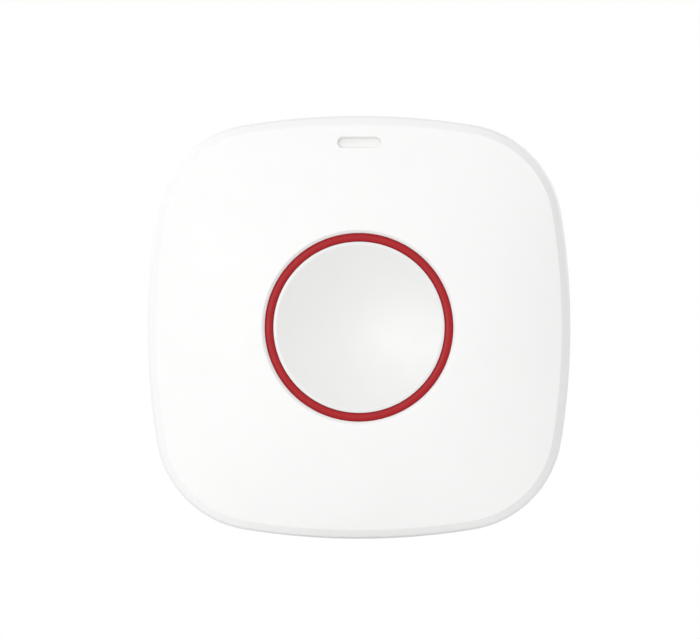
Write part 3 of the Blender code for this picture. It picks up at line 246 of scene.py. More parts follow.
SCREW_TURNS = [math.radians(turn) for turn in (12.0, 57.0, 33.0, 78.0)]

# Battery door, cell and holder
DOOR_RADIUS = 13.45 * MM
DOOR_RIM_WALL = 0.9 * MM
DOOR_LUG_REACH = extent("battery_door")[0] / 2
DOOR_LUG_WIDTH = 5.0 * MM
DOOR_LUG_THICKNESS = 0.8 * MM
DOOR_TURN = math.radians(35.0)
COIN_SLOT_LENGTH = 14.0 * MM
COIN_SLOT_WIDTH = 2.4 * MM
COIN_SLOT_DEPTH = 0.8 * MM
CELL_RADIUS = extent("coin_cell")[0] / 2
CELL_CORNER = 0.6 * MM
CELL_SHOULDER = 0.35 * MM
CELL_CRIMP = 0.9 * MM
CELL_STEP = 0.4 * MM
GASKET_WIDTH = 0.35 * MM
GASKET_SINK = 0.1 * MM
HOLDER_WALL = 1.2 * MM
CONTACT_WIDTH = 4.0 * MM

# Board and what it carries
BOARD_LOW, BOARD_HIGH = levels("circuit_board")
UNDER_BOARD = BOARD_LOW - SEAT_GAP
BOARD_INSET = 3.0 * MM
BOARD_ROUNDING = 0.06 * MM
CHIP_MARK_RADIUS = 0.35 * MM
CHIP_MARK_DEPTH = 0.08 * MM
CHIP_MARK_INSET = 1.0 * MM
CAN_GROOVE = 0.3 * MM
CAN_GROOVE_RISE = 0.9 * MM
CRYSTAL_RIM = 0.4 * MM
CRYSTAL_RIM_THICKNESS = 0.5 * MM
ANTENNA_WIRE_RADIUS = 0.4 * MM
ANTENNA_TURNS = 7

# Switches, springs and plunger
SWITCH_FLOOR = 0.7 * MM
SWITCH_WELL_GAP = 0.2 * MM
SEAT_WALL = 0.6 * MM
RETURN_WIRE_RADIUS = 0.25 * MM
TAMPER_WIRE_RADIUS = 0.2 * MM
SPRING_TURNS = 3
SPRING_CLOSE_TURNS = 1
CLOSE_PITCH_SHARE = 1.05
PLUNGER_STEM_RADIUS = 1.0 * MM
PLUNGER_FLANGE_THICKNESS = 0.6 * MM
PLUNGER_TIP_ROUNDING = 0.5 * MM
NIB_RADIUS = 0.5 * MM
NIB_HEIGHT = 0.5 * MM


# Outlines, seen from the front

def polar(distance, angle, place=(0, 0)):
    """The point at a distance and an angle from a place."""
    return place[0] + distance * math.cos(angle), place[1] + distance * math.sin(angle)


def arc(radius, start, sweep, steps, centre):
    """Points along an arc, with both of its ends."""
    return [polar(radius, start + sweep * step / steps, centre) for step in range(steps + 1)]


def circle(radius, place=(0, 0), steps=SMALL_ROUND_STEPS):
    return [polar(radius, 2 * math.pi * step / steps, place) for step in range(steps)]


def belt(centres, radius, place):
    """Arcs about two or four centres in turn, joined by straight lines."""
    sweep = 2 * math.pi / len(centres)
    points = []
    for index, (x, y) in enumerate(centres):
        start = math.pi / 2 + (index - 1) * sweep
        centre = (place[0] + x, place[1] + y)
        points += arc(radius, start, sweep, SMALL_ROUND_STEPS // len(centres), centre)
    return points


def rectangle(width, height, place=(0, 0), turn=0):
    corners = [(-width, -height), (width, -height), (width, height), (-width, height)]
    spin = Matrix.Rotation(turn, 2)
    return [Vector(place) + spin @ Vector(corner) / 2 for corner in corners]


def case_directions():
    """Polar angles of evenly spaced points along the case outline's arcs."""
    side = arc(SIDE_RADIUS, -SIDE_SWEEP, 2 * SIDE_SWEEP, SIDE_STEPS, SIDE_CENTRE)
    corner_sweep = math.pi / 2 - 2 * SIDE_SWEEP
    corner = arc(CORNER_RADIUS, SIDE_SWEEP, corner_sweep, CORNER_STEPS, CORNER_CENTRE)
    quarter = [math.atan2(y, x) for x, y in side[:-1] + corner[:-1]]
    return [angle + turn * math.pi / 2 for turn in range(4) for angle in quarter]


def reach(angle, inset):
    """Distance from the middle to the case outline, drawn in by inset, at a polar angle."""
    folded = angle % (math.pi / 2)
    folded = min(folded, math.pi / 2 - folded)
    meeting_x, meeting_y = polar(SIDE_RADIUS - inset, SIDE_SWEEP, SIDE_CENTRE)
    if folded < math.atan2(meeting_y, meeting_x):
        centre = Vector(SIDE_CENTRE)
        radius = SIDE_RADIUS - inset
    else:
        centre = Vector(CORNER_CENTRE)
        radius = CORNER_RADIUS - inset
    along = centre.dot(Vector(polar(1, folded)))
    return along + math.sqrt(along**2 - centre.length_squared + radius**2)


def face_level(x, y):
    """Level of the crowned face: highest round the button's hole, falling faster towards the edge.

    Its lines of equal level are round at the hole and turn into the case outline at the edge.
    """
    distance = math.hypot(x, y)
    excess = (reach(math.atan2(y, x), BAND_WIDTH) - EDGE_REACH) / (1 - LIP_SHARE)
    straight = EDGE_REACH - excess * LIP_SHARE
    share = 2 * distance / (straight + math.sqrt(straight**2 + 4 * excess * distance))
    fallen = share**CROWN_POWER - LIP_SHARE**CROWN_POWER
    return LIP_LEVEL - FACE_DROP * fallen / (1 - LIP_SHARE**CROWN_POWER)


# Outlines that can grow: each is a function of how far it has grown

def growing_circle(radius, place=(0, 0)):
    return lambda growth: circle(radius + growth, place)


def growing_stadium(length, width, place=(0, 0)):
    """A slot with round ends, along x."""
    x = (length - width) / 2
    return lambda growth: belt([(x, 0), (-x, 0)], width / 2 + growth, place)


def growing_rectangle(width, height, radius, place=(0, 0)):
    x = width / 2 - radius
    y = height / 2 - radius
    return lambda growth: belt([(x, y), (-x, y), (-x, -y), (x, -y)], radius + growth, place)


def growing_case(inset):
    return lambda growth: [polar(reach(angle, inset - growth), angle) for angle in case_directions()]


# Solids

def put(name, data):
    """A new object in the scene."""
    placed = bpy.data.objects.new(name, data)
    bpy.context.scene.collection.objects.link(placed)
    return placed


def new_piece(name, shape):
    """An object from a bench drawing, turned into the frame, with its faces outwards."""
    bmesh.ops.remove_doubles(shape, verts=shape.verts, dist=MERGE_DISTANCE)
    bmesh.ops.transform(shape, verts=shape.verts, matrix=BENCH_TO_FRAME)
    bmesh.ops.recalc_face_normals(shape, faces=shape.faces)
    mesh = bpy.data.meshes.new(name)
    shape.to_mesh(mesh)
    shape.free()
    return put(name, mesh)


def move(piece, placing):
    """Move a piece's mesh by a bench matrix."""
    piece.data.transform(BENCH_TO_FRAME @ placing @ FRAME_TO_BENCH)


def rounded(corners):
    """A line through corners of radius and level. A corner that has a rounding too becomes an arc."""
    places = [Vector(corner[:2]) for corner in corners]
    points = []
    for index, (place, corner) in enumerate(zip(places, corners)):
        if len(corner) == 2:
            points.append(place)
            continue
        rounding = corner[2]
        back = (places[index - 1] - place).normalized()
        ahead = (places[(index + 1) % len(places)] - place).normalized()
        half = back.angle(ahead) / 2
        centre = place + (back + ahead).normalized() * rounding / math.sin(half)
        start = place + back * rounding / math.tan(half) - centre
        end = place + ahead * rounding / math.tan(half) - centre
        for step in range(ROUNDING_STEPS + 1):
            points.append(centre + start.lerp(end, step / ROUNDING_STEPS).normalized() * rounding)
    return points


def swept(name, directions, section, closed):
    """A skin through the section drawn at each direction round the middle.

    A section that isn't closed leaves two open ends, which are capped unless they lie on the axis.
    """
    shape = bmesh.new()
    columns = []
    for angle in directions:
        points = rounded(section(angle))
        columns.append([shape.verts.new((*polar(radius, angle), level)) for radius, level in points])
    for index, column in enumerate(columns):
        last = columns[index - 1]
        for step in range(0 if closed else 1, len(column)):
            shape.faces.new((last[step - 1], column[step - 1], column[step], last[step]))
    for end in () if closed else (0, -1):
        if columns[0][end].co.xy.length:
            shape.faces.new([column[end] for column in columns])
    return new_piece(name, shape)


def turned(name, corners, closed=False, steps=ROUND_STEPS, place=(0, 0)):
    """A turned piece. A section that isn't closed starts and ends on the axis or on a flat."""
    directions = [2 * math.pi * step / steps for step in range(steps)]
    piece = swept(name, directions, lambda angle: corners, closed)
    move(piece, Matrix.Translation((*place, 0)))
    return piece


def lofted(name, rings):
    """Matching rings of points joined in turn and capped at both ends."""
    shape = bmesh.new()
    rows = [[shape.verts.new(point) for point in ring] for ring in rings]
    shape.faces.new(rows[0])
    shape.faces.new(rows[-1])
    for low, high in zip(rows, rows[1:]):
        for index, point in enumerate(low):
            last = index - 1
            shape.faces.new((low[last], point, high[index], high[last]))
    return new_piece(name, shape)


def at_level(outline, level):
    return [(x, y, level) for x, y in outline]


def prism(name, outline, low, high):
    return lofted(name, [at_level(outline, low), at_level(outline, high)])


def pin(radius, place, low, high):
    """A plain round post, or the cutter for a plain round hole."""
    return prism("pin", circle(radius, place), low, high)


def easing(rounding):
    """Steps of an edge's rounding: how far in from the side, and how far in from the end."""
    turns = [math.pi / 2 * step / ROUNDING_STEPS for step in range(ROUNDING_STEPS + 1)]
    return [(rounding * (1 - math.sin(turn)), rounding * (1 - math.cos(turn))) for turn in turns]


def pillow(name, outline, low, high, rounding):
    """A flat piece with rounded edges, from an outline that can grow."""
    eased = easing(rounding)
    rings = [at_level(outline(-inward), low + inside) for inward, inside in eased]
    rings += [at_level(outline(-inward), high - inside) for inward, inside in reversed(eased)]
    return lofted(name, rings)


def mouth_rings(outline, surface, rounding, inwards):
    """Rings from just outside a surface to just inside it, which round the edge of an opening there."""
    (widest, _), (narrower, first_depth) = easing(rounding)[:2]
    rings = [at_level(outline(2 * widest - narrower), surface - inwards * first_depth)]
    for outward, inside in easing(rounding)[1:]:
        rings.append(at_level(outline(outward), surface + inwards * inside))
    return rings


def mouth(name, outline, surface, end, rounding):
    """A cutter from just outside a surface to its end, which rounds the edge of the opening."""
    inwards = math.copysign(1, end - surface)
    rings = mouth_rings(outline, surface, rounding, inwards)
    return lofted(name, rings + [at_level(outline(0), end)])


def coil(name, radius, wire_radius, turns, length, close_turns=0):
    """A wire wound about the axis from level 0 to its length, with turns lying close at each end."""
    close_pitch = 2 * wire_radius * CLOSE_PITCH_SHARE
    open_pitch = (length - 2 * wire_radius - 2 * close_turns * close_pitch) / turns
    wire = circle(wire_radius, steps=WIRE_STEPS)
    rings = []
    for step in range((turns + 2 * close_turns) * COIL_TURN_STEPS + 1):
        turn = step / COIL_TURN_STEPS
        open_turn = min(max(turn - close_turns, 0), turns)
        pitch = open_pitch if 0 < open_turn < turns else close_pitch
        out = Vector((*polar(1, 2 * math.pi * turn), 0))
        along = Vector((-radius * out.y, radius * out.x, pitch / (2 * math.pi))).normalized()
        across = along.cross(out)
        level = wire_radius + close_pitch * (turn - open_turn) + open_pitch * open_turn
        centre = out * radius + Vector((0, 0, level))
        rings.append([centre + out * x + across * y for x, y in wire])
    return lofted(name, rings)


def combine(piece, tools, operation):
    """Cut the tools from the piece or join them to it, and remove them."""
    for tool in tools:
        modifier = piece.modifiers.new("combine", "BOOLEAN")
        modifier.operation = operation
        modifier.solver = "EXACT"
        modifier.object = tool
    solid = piece.evaluated_get(bpy.context.evaluated_depsgraph_get())
    mesh = bpy.data.meshes.new_from_object(solid)
    piece.modifiers.clear()
    old = piece.data
    piece.data = mesh
    mesh.name = piece.name
    bpy.data.meshes.remove(old)
    for tool in tools:
        bpy.data.objects.remove(tool)


def join(piece, *tools):
    combine(piece, tools, "UNION")


def cut(piece, *tools):
    combine(piece, tools, "DIFFERENCE")


def dress(piece, slot, node, body="unit"):
    """Finish a piece: its shading, its material, its body and the node that it stands for."""
    for face in piece.data.polygons:
        face.use_smooth = True
    piece.data.set_sharp_from_angle(angle=SHARP_ANGLE)
    piece.data.materials.clear()
    piece.data.materials.append(MATERIALS[slot])
    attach(piece, body)
    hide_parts(node)


# Materials

PATCH_SIZE = 9.0 * MM
GLOSS_PATCH_SIZE = 3.0 * MM
SPARK_GRAIN_SIZE = 0.32 * MM
SPARK_GRAIN_DEPTH = 0.006 * MM
FINE_GRAIN_DEPTH = 0.004 * MM
WEAVE_SIZE = 0.6 * MM
SCRATCH_SIZE = 0.15 * MM
SCRATCH_DEPTH = 0.002 * MM
NOISE_MIDDLE = (0.3, 0.7)
BROAD_DETAIL = 2.0
GLOSS_DETAIL = 3.0


def noise(tree, coordinates, size, detail):
    texture = tree.nodes.new("ShaderNodeTexNoise")
    texture.inputs["Scale"].default_value = 1 / size
    texture.inputs["Detail"].default_value = detail
    tree.links.new(coordinates.outputs["Object"], texture.inputs["Vector"])
    return texture.outputs["Fac"]


def spread(tree, source, low, high):
    """The middle of a noise's range spread over another range."""
    remap = tree.nodes.new("ShaderNodeMapRange")
    remap.inputs["From Min"].default_value, remap.inputs["From Max"].default_value = NOISE_MIDDLE
    remap.inputs["To Min"].default_value = low
    remap.inputs["To Max"].default_value = high
    tree.links.new(source, remap.inputs["Value"])
    return remap.outputs["Result"]


def finish(name, colour, roughness, drift, grain_size, grain_depth, specular=0.5, metallic=0.0):
    """Faint patches of colour, patches of gloss between two values, and a fine grain over both."""
    material = bpy.data.materials.new(name)
    material.use_nodes = True
    tree = material.node_tree
    shader = tree.nodes["Principled BSDF"]
    shader.inputs["Specular IOR Level"].default_value = specular
    shader.inputs["Metallic"].default_value = metallic
    coordinates = tree.nodes.new("ShaderNodeTexCoord")
    mix = tree.nodes.new("ShaderNodeMix")
    mix.data_type = "RGBA"
    mix.inputs["A"].default_value = (*[part * (1 - drift) for part in colour], 1)
    mix.inputs["B"].default_value = (*colour, 1)
    patches = noise(tree, coordinates, PATCH_SIZE, BROAD_DETAIL)
    tree.links.new(spread(tree, patches, 0, 1), mix.inputs["Factor"])
    tree.links.new(mix.outputs["Result"], shader.inputs["Base Color"])
    gloss = noise(tree, coordinates, GLOSS_PATCH_SIZE, GLOSS_DETAIL)
    tree.links.new(spread(tree, gloss, *roughness), shader.inputs["Roughness"])
    bump = tree.nodes.new("ShaderNodeBump")
    bump.inputs["Distance"].default_value = grain_depth
    tree.links.new(noise(tree, coordinates, grain_size, BROAD_DETAIL), bump.inputs["Height"])
    tree.links.new(bump.outputs["Normal"], shader.inputs["Normal"])
    return material


def plastic(name, colour, roughness, drift=0.01, grain_depth=FINE_GRAIN_DEPTH, specular=0.5):
    """Moulded plastic with a spark-eroded grain."""
    return finish(name, colour, roughness, drift, SPARK_GRAIN_SIZE, grain_depth, specular)


def metal(name, colour, roughness, drift=0.06):
    """Bare metal with fine scratches."""
    return finish(name, colour, roughness, drift, SCRATCH_SIZE, SCRATCH_DEPTH, metallic=1.0)


# One for each material slot of the record
MATERIALS = {
    "case_white": plastic(
        "shell_plastic", (0.90, 0.90, 0.895), (0.40, 0.48), grain_depth=SPARK_GRAIN_DEPTH, specular=0.3
    ),
    "cap_white": plastic("button_plastic", (0.780, 0.778, 0.772), (0.34, 0.40), specular=1.0),
    "ring_red": plastic("ring_plastic", (0.385, 0.009, 0.014), (0.30, 0.38), drift=0.04, specular=0.22),
    "frosted_lens": plastic(
        "frosted_plastic", (0.90, 0.90, 0.895), (0.42, 0.52), grain_depth=SPARK_GRAIN_DEPTH
    ),
    "carrier_grey": plastic("inner_plastic", (0.62, 0.62, 0.61), (0.44, 0.54), drift=0.03),
    "black_plastic": plastic("component_plastic", (0.030, 0.030, 0.031), (0.42, 0.56), drift=0.25),
    "board_green": finish(
        "solder_mask",
        (0.020, 0.160, 0.070),
        (0.30, 0.42),
        drift=0.22,
        grain_size=WEAVE_SIZE,
        grain_depth=FINE_GRAIN_DEPTH,
    ),
    "screw_steel": metal("plated_screw", (0.58, 0.58, 0.60), (0.26, 0.38)),
    "spring_steel": metal("spring_wire", (0.48, 0.48, 0.50), (0.22, 0.34)),
    "cell_steel": metal("cell_can", (0.66, 0.66, 0.67), (0.18, 0.30)),
    "contact_nickel": metal("nickel_sheet", (0.70, 0.66, 0.58), (0.22, 0.34)),
    "antenna_brass": metal("brass_wire", (0.72, 0.48, 0.20), (0.22, 0.36)),
    "capacitor_aluminium": metal("aluminium_can", (0.75, 0.76, 0.77), (0.26, 0.38)),
}


def finish_nodes():
    """Give every node of the frame its material, by the slot that it is packed with."""
    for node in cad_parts.values():
        for place in node.material_slots:
            place.material = MATERIALS[place.material.name]


# Front shell and status window

def front_section(angle):
    """Up the outside, over the band and the face, down the hole and back along the inside."""
    edge = reach(angle, BAND_WIDTH)
    corners = [
        (reach(angle, 0), PARTING_LEVEL, FOOT_ROUNDING),
        (reach(angle, WALL_DRAFT), BAND_FOOT_LEVEL, BAND_FOOT_ROUNDING),
        (edge, FACE_EDGE_LEVEL, BAND_EDGE_ROUNDING),
    ]
    for step in range(1, FACE_STEPS):
        distance = edge + (LIP_RADIUS - edge) * step / FACE_STEPS
        corners.append((distance, face_level(*polar(distance, angle))))
    collar_radius = HOLE_RADIUS + COLLAR_WALL
    corners += [
        (HOLE_RADIUS + LIP_CHAMFER, LIP_LEVEL, LIP_ROUNDING),
        (HOLE_RADIUS, LIP_LEVEL - LIP_CHAMFER, LIP_ROUNDING),
        (HOLE_RADIUS, CAP_LOW),
        (collar_radius, CAP_LOW),
    ]
    inner_inset = COVER_WALL + WALL_DRAFT
    inner_edge = reach(angle, inner_inset + INNER_CHAMFER)
    for step in range(INNER_FACE_STEPS + 1):
        distance = collar_radius + (inner_edge - collar_radius) * step / INNER_FACE_STEPS
        corners.append((distance, face_level(*polar(distance, angle)) - COVER_WALL))
    corners += [
        (reach(angle, inner_inset), FACE_EDGE_LEVEL - COVER_WALL - INNER_CHAMFER),
        (reach(angle, COVER_WALL), PARTING_LEVEL),
    ]
    return corners


def window_ring(growth, depth, lean=(0, 0)):
    """The status window's outline at a depth under the crowned face, a little aside if it leans."""
    place = (WINDOW_PLACE[0] + lean[0], WINDOW_PLACE[1] + lean[1])
    outline = growing_stadium(WINDOW_LENGTH, WINDOW_WIDTH, place)
    return [(x, y, face_level(x, y) - depth) for x, y in outline(growth)]


def make_front_shell():
    """Front shell with its screw posts and the window's opening, which leans as the face slopes."""
    shell = swept("front_shell", case_directions(), front_section, closed=True)
    posts = []
    holes = []
    for screw in CASE_SCREWS:
        place = middle(screw)
        post_high = face_level(*place) - COVER_WALL / 2
        posts.append(pin(CASE_POST_RADIUS, place, PARTING_LEVEL, post_high))
        hole_high = levels(screw)[1] + SCREW_ROOM
        holes.append(pin(CASE_HOLE_RADIUS, place, PARTING_LEVEL - OVERRUN, hole_high))
    join(shell, *posts)
    seat = WINDOW_ROOM - WINDOW_GAP
    seat_rings = [window_ring(seat, 2 * COVER_WALL), window_ring(seat, WINDOW_SEAT_DEPTH)]
    opening_rings = [
        window_ring(-WINDOW_NARROWING, WINDOW_SEAT_DEPTH + WINDOW_ROOM, WINDOW_LEAN),
        window_ring(-WINDOW_NARROWING, WINDOW_SEAT_DEPTH, WINDOW_LEAN),
        window_ring(0, 0),
        window_ring(WINDOW_ROOM, -OVERRUN),
    ]
    holes += [lofted("seat", seat_rings), lofted("opening", opening_rings)]
    cut(shell, *holes)
    dress(shell, "case_white", "front_cover")


def make_status_window():
    """Frosted light pipe that fills the opening, its end sloping as the face does."""
    opening = growing_stadium(WINDOW_LENGTH, WINDOW_WIDTH, WINDOW_PLACE)
    low = at_level(opening(-WINDOW_GAP), levels("light_pipe")[0])
    window = lofted("status_window", [low, window_ring(-WINDOW_GAP, WINDOW_RECESS)])
    flange_edge = WINDOW_PLACE[1] + WINDOW_WIDTH / 2 + WINDOW_FLANGE
    flange_high = face_level(0, flange_edge) - COVER_WALL - WINDOW_FLANGE / 2
    flange_low = flange_high - WINDOW_FLANGE_THICKNESS
    flange = growing_stadium(
        WINDOW_LENGTH + 2 * WINDOW_FLANGE, WINDOW_WIDTH + 2 * WINDOW_FLANGE, WINDOW_PLACE
    )
    join(window, pillow("flange", flange, flange_low, flange_high, FINE_ROUNDING))
    dress(window, "frosted_lens", "light_pipe")


# Button

def make_ring_bead():
    inside = RING_RADIUS - RING_WIDTH
    corners = [
        (inside, RING_LOW),
        (inside, BUTTON_HIGH - RING_CROWN, RING_ROUNDING),
        (inside + RING_WIDTH / 2, BUTTON_HIGH),
        (RING_RADIUS, BUTTON_HIGH - RING_CROWN, RING_ROUNDING),
        (RING_RADIUS, RING_LOW),
    ]
    dress(turned("ring_bead", corners, closed=True), "ring_red", "red_ring", body="button")


def make_dished_cap():
    """Cap with a shallow dish, a narrow rounded rim and a skirt."""
    underside = CAP_LOW + CAP_SKIRT_DEPTH
    dish_radius = CAP_RADIUS - CAP_RIM
    ball_radius = (dish_radius**2 + DISH_DEPTH**2) / (2 * DISH_DEPTH)
    corners = []
    for step in range(DISH_STEPS):
        radius = dish_radius * step / DISH_STEPS
        rise = ball_radius - math.sqrt(ball_radius**2 - radius**2)
        corners.append((radius, underside + CAP_THICKNESS + rise))
    corners += [
        (dish_radius, BUTTON_HIGH, CAP_RIM_ROUNDING),
        (CAP_RADIUS, BUTTON_HIGH - CAP_RIM_FALL, CAP_RIM_ROUNDING),
        (CAP_RADIUS, CAP_LOW),
        (CAP_RADIUS - CAP_SKIRT_WALL, CAP_LOW),
        (CAP_RADIUS - CAP_SKIRT_WALL, underside),
        (0, underside),
    ]
    dress(turned("dished_cap", corners), "cap_white", "button_cap", body="button")


def make_carrier():
    """Moulding under the cap and ring, whose flange stays behind the hole."""
    low = levels("button_carrier")[0]
    flange_high = CAP_LOW - SEAT_GAP
    flange_radius = extent("button_carrier")[0] / 2
    rim_high = RING_LOW - SEAT_GAP
    neck = RING_RADIUS - FINE_ROUNDING
    rim_inside = RING_RADIUS - RING_WIDTH
    corners = [
        (flange_radius / 2, low),
        (flange_radius, low, FINE_ROUNDING),
        (flange_radius, flange_high, FINE_ROUNDING),
        (neck, flange_high),
        (neck, rim_high, FINE_ROUNDING),
        (rim_inside, rim_high, FINE_ROUNDING),
        (rim_inside, flange_high),
        (flange_radius / 2, flange_high),
    ]
    dress(turned("flanged_carrier", corners), "carrier_grey", "button_carrier", body="button")


# Rear shell

def rear_section(angle):
    """From the back's edge up the side, over the tongue and down to the back's inside."""
    tongue_outside = COVER_WALL + SEAT_GAP
    tongue_inside = tongue_outside + TONGUE_WALL
    shoulder = PARTING_LEVEL - SHUT_LINE
    return [
        (reach(angle, REAR_INSET + 2 * REAR_ROUNDING), REAR_LEVEL),
        (reach(angle, REAR_INSET), REAR_LEVEL, REAR_ROUNDING),
        (reach(angle, REAR_INSET), shoulder, FINE_ROUNDING),
        (reach(angle, tongue_outside), shoulder),
        (reach(angle, tongue_outside), TONGUE_LEVEL, FINE_ROUNDING),
        (reach(angle, tongue_inside), TONGUE_LEVEL, FINE_ROUNDING),
        (reach(angle, tongue_inside), REAR_LEVEL + REAR_WALL),
    ]


def floor_cutters():
    """Cutters through the pocket's floor: door opening, its notches, plunger hole and keyholes."""
    low = FLOOR_LOW - OVERRUN
    high = FLOOR_HIGH + OVERRUN
    door_opening = circle(DOOR_RADIUS + SEAT_GAP, steps=ROUND_STEPS)
    notch_length = 2 * (DOOR_LUG_REACH + SEAT_GAP)
    notches = rectangle(notch_length, DOOR_LUG_WIDTH + 2 * SEAT_GAP, turn=-DOOR_TURN)
    outlines = [door_opening, notches, circle(PLUNGER_HOLE_RADIUS, PLUNGER_PLACE)]
    slot_height = UNIT_TRAVEL + HOOK_HEIGHT / 2 + SEAT_GAP
    for x, y in HOOK_PLACES:
        start = y - UNIT_TRAVEL
        entry_width = HOOK_HEAD_WIDTH + 2 * SLIDE_GAP
        outlines.append(rectangle(entry_width, HOOK_HEIGHT + 2 * SLIDE_GAP, (x, start)))
        slot_width = HOOK_NECK_WIDTH + 2 * SLIDE_GAP
        outlines.append(rectangle(slot_width, slot_height, (x, start + slot_height / 2)))
    return [prism("floor_cutter", outline, low, high) for outline in outlines]


def make_rear_shell():
    """Back shell: screw wells, board posts, a tongue, and a pocket with room to slide on the plate."""
    shell = swept("rear_shell", case_directions(), rear_section, closed=False)
    rooted = REAR_LEVEL + REAR_WALL / 2
    boss_high = PARTING_LEVEL - SEAT_GAP
    width = PLATE_WIDTH + 2 * SLIDE_GAP
    height = PLATE_HEIGHT + 2 * SLIDE_GAP + UNIT_TRAVEL
    pocket = growing_rectangle(width, height, PLATE_CORNER + SLIDE_GAP, (0, -UNIT_TRAVEL / 2))
    added = [prism("pocket_walls", pocket(REAR_WALL), rooted, FLOOR_HIGH)]
    added += [pin(CASE_BOSS_RADIUS, middle(screw), rooted, boss_high) for screw in CASE_SCREWS]
    added += [pin(BOARD_POST_RADIUS, middle(screw), rooted, UNDER_BOARD) for screw in BOARD_SCREWS]
    join(shell, *added)
    removed = [mouth("pocket", pocket, REAR_LEVEL, FLOOR_LOW, POCKET_ROUNDING)]
    well_high = REAR_LEVEL + CASE_SCREW_WELL_DEPTH
    hole_low = REAR_LEVEL + CASE_SCREW_WELL_DEPTH / 2
    for screw in CASE_SCREWS:
        well = growing_circle(extent(screw)[0] / 2 + SEAT_GAP, middle(screw))
        removed.append(mouth("well", well, REAR_LEVEL, well_high, FINE_ROUNDING))
        removed.append(pin(CASE_HOLE_RADIUS, middle(screw), hole_low, PARTING_LEVEL + OVERRUN))
    for screw in BOARD_SCREWS:
        low = levels(screw)[0] - SEAT_GAP
        high = UNDER_BOARD + OVERRUN
        removed.append(pin(BOARD_SCREW_RADIUS + SCREW_ROOM, middle(screw), low, high))
    cut(shell, *removed, *floor_cutters())
    dress(shell, "case_white", "rear_cover")


# Wall plate

def wall_screw_cutter(outline):
    """A cutter through the plate, rounded at the wall and countersunk at the front."""
    rings = mouth_rings(outline, 0, FINE_ROUNDING, inwards=1)
    rings.append(at_level(outline(0), PLATE_THICKNESS - WALL_SCREW_SINK))
    widening = WALL_SCREW_SINK + OVERRUN
    rings.append(at_level(outline(widening), PLATE_THICKNESS + OVERRUN))
    return lofted("wall_screw_cutter", rings)


def ramp_cutter():
    """A cutter for the slope that lets the tamper plunger out as the unit slides."""
    start = PLUNGER_PLACE[1] - PLUNGER_TIP_RADIUS
    end = PLUNGER_PLACE[1] + UNIT_TRAVEL + PLUNGER_HOLE_RADIUS
    fall = (end - start) * PLUNGER_TRAVEL / UNIT_TRAVEL
    above = PLATE_THICKNESS + OVERRUN
    side = [(start, PLATE_THICKNESS), (end, PLATE_THICKNESS - fall), (end, above), (start, above)]
    ends = (-PLUNGER_HOLE_RADIUS, PLUNGER_HOLE_RADIUS)
    return lofted("ramp_cutter", [[(x, y, level) for y, level in side] for x in ends])


def make_mounting_plate():
    """Plate with rounded edges, wall screw holes, four hooks and the plunger's ramp."""
    outline = growing_rectangle(PLATE_WIDTH, PLATE_HEIGHT, PLATE_CORNER)
    plate = pillow("mounting_plate", outline, 0, PLATE_THICKNESS, PLATE_ROUNDING)
    hooks = []
    neck_high = (HOOK_HEAD_LOW + HOOK_HEAD_HIGH) / 2
    for place in HOOK_PLACES:
        neck = rectangle(HOOK_NECK_WIDTH, HOOK_HEIGHT - 2 * SOFT_ROUNDING, place)
        hooks.append(prism("neck", neck, PLATE_THICKNESS / 2, neck_high))
        head = growing_rectangle(HOOK_HEAD_WIDTH, HOOK_HEIGHT, SOFT_ROUNDING, place)
        hooks.append(pillow("head", head, HOOK_HEAD_LOW, HOOK_HEAD_HIGH, FINE_ROUNDING))
    join(plate, *hooks)
    removed = [wall_screw_cutter(growing_circle(WALL_SCREW_RADIUS, WALL_SCREW_PLACE)), ramp_cutter()]
    for side in (-1, 1):
        place = (side * WALL_SLOT_X, WALL_SLOT_Y)
        slot = growing_stadium(WALL_SLOT_LENGTH, 2 * WALL_SCREW_RADIUS, place)
        removed.append(wall_screw_cutter(slot))
    cut(plate, *removed)
    dress(plate, "case_white", "wall_bracket", body="bracket")


# Screws

def screw_section(head_radius, head_height, shank_radius, length):
    """From the middle of a crowned head, at level 0, down a coarse thread to the tip."""
    corners = [(0, 0)]
    for step in range(1, SCREW_CROWN_STEPS + 1):
        turn = math.pi / 2 * step / SCREW_CROWN_STEPS
        radius = head_radius * (SCREW_FLAT_SHARE + (1 - SCREW_FLAT_SHARE) * math.sin(turn))
        corners.append((radius, head_height * SCREW_CROWN_SHARE * (1 - math.cos(turn))))
    corners += [(head_radius, head_height, SCREW_EDGE), (shank_radius, head_height)]
    level = head_height + THREAD_PITCH
    while level + THREAD_PITCH < length - shank_radius:
        corners.append((shank_radius - THREAD_DEPTH, level))
        corners.append((shank_radius, level + THREAD_PITCH / 2))
        level += THREAD_PITCH
    return corners + [(shank_radius - THREAD_DEPTH, level), (0, length)]


def cross_recess(head_radius, head_height):
    """The two arms of a cross recess that narrows as it goes in."""
    long_side = head_radius * RECESS_LENGTH_SHARE
    short_side = head_radius * RECESS_WIDTH_SHARE
    arms = []
    for width, height in ((long_side, short_side), (short_side, long_side)):
        wide = rectangle(width, height)
        narrow = rectangle(width * RECESS_TAPER_SHARE, height * RECESS_TAPER_SHARE)
        rings = [
            at_level(wide, -OVERRUN),
            at_level(wide, 0),
            at_level(narrow, head_height * RECESS_DEPTH_SHARE),
        ]
        arms.append(lofted("arm", rings))
    return arms


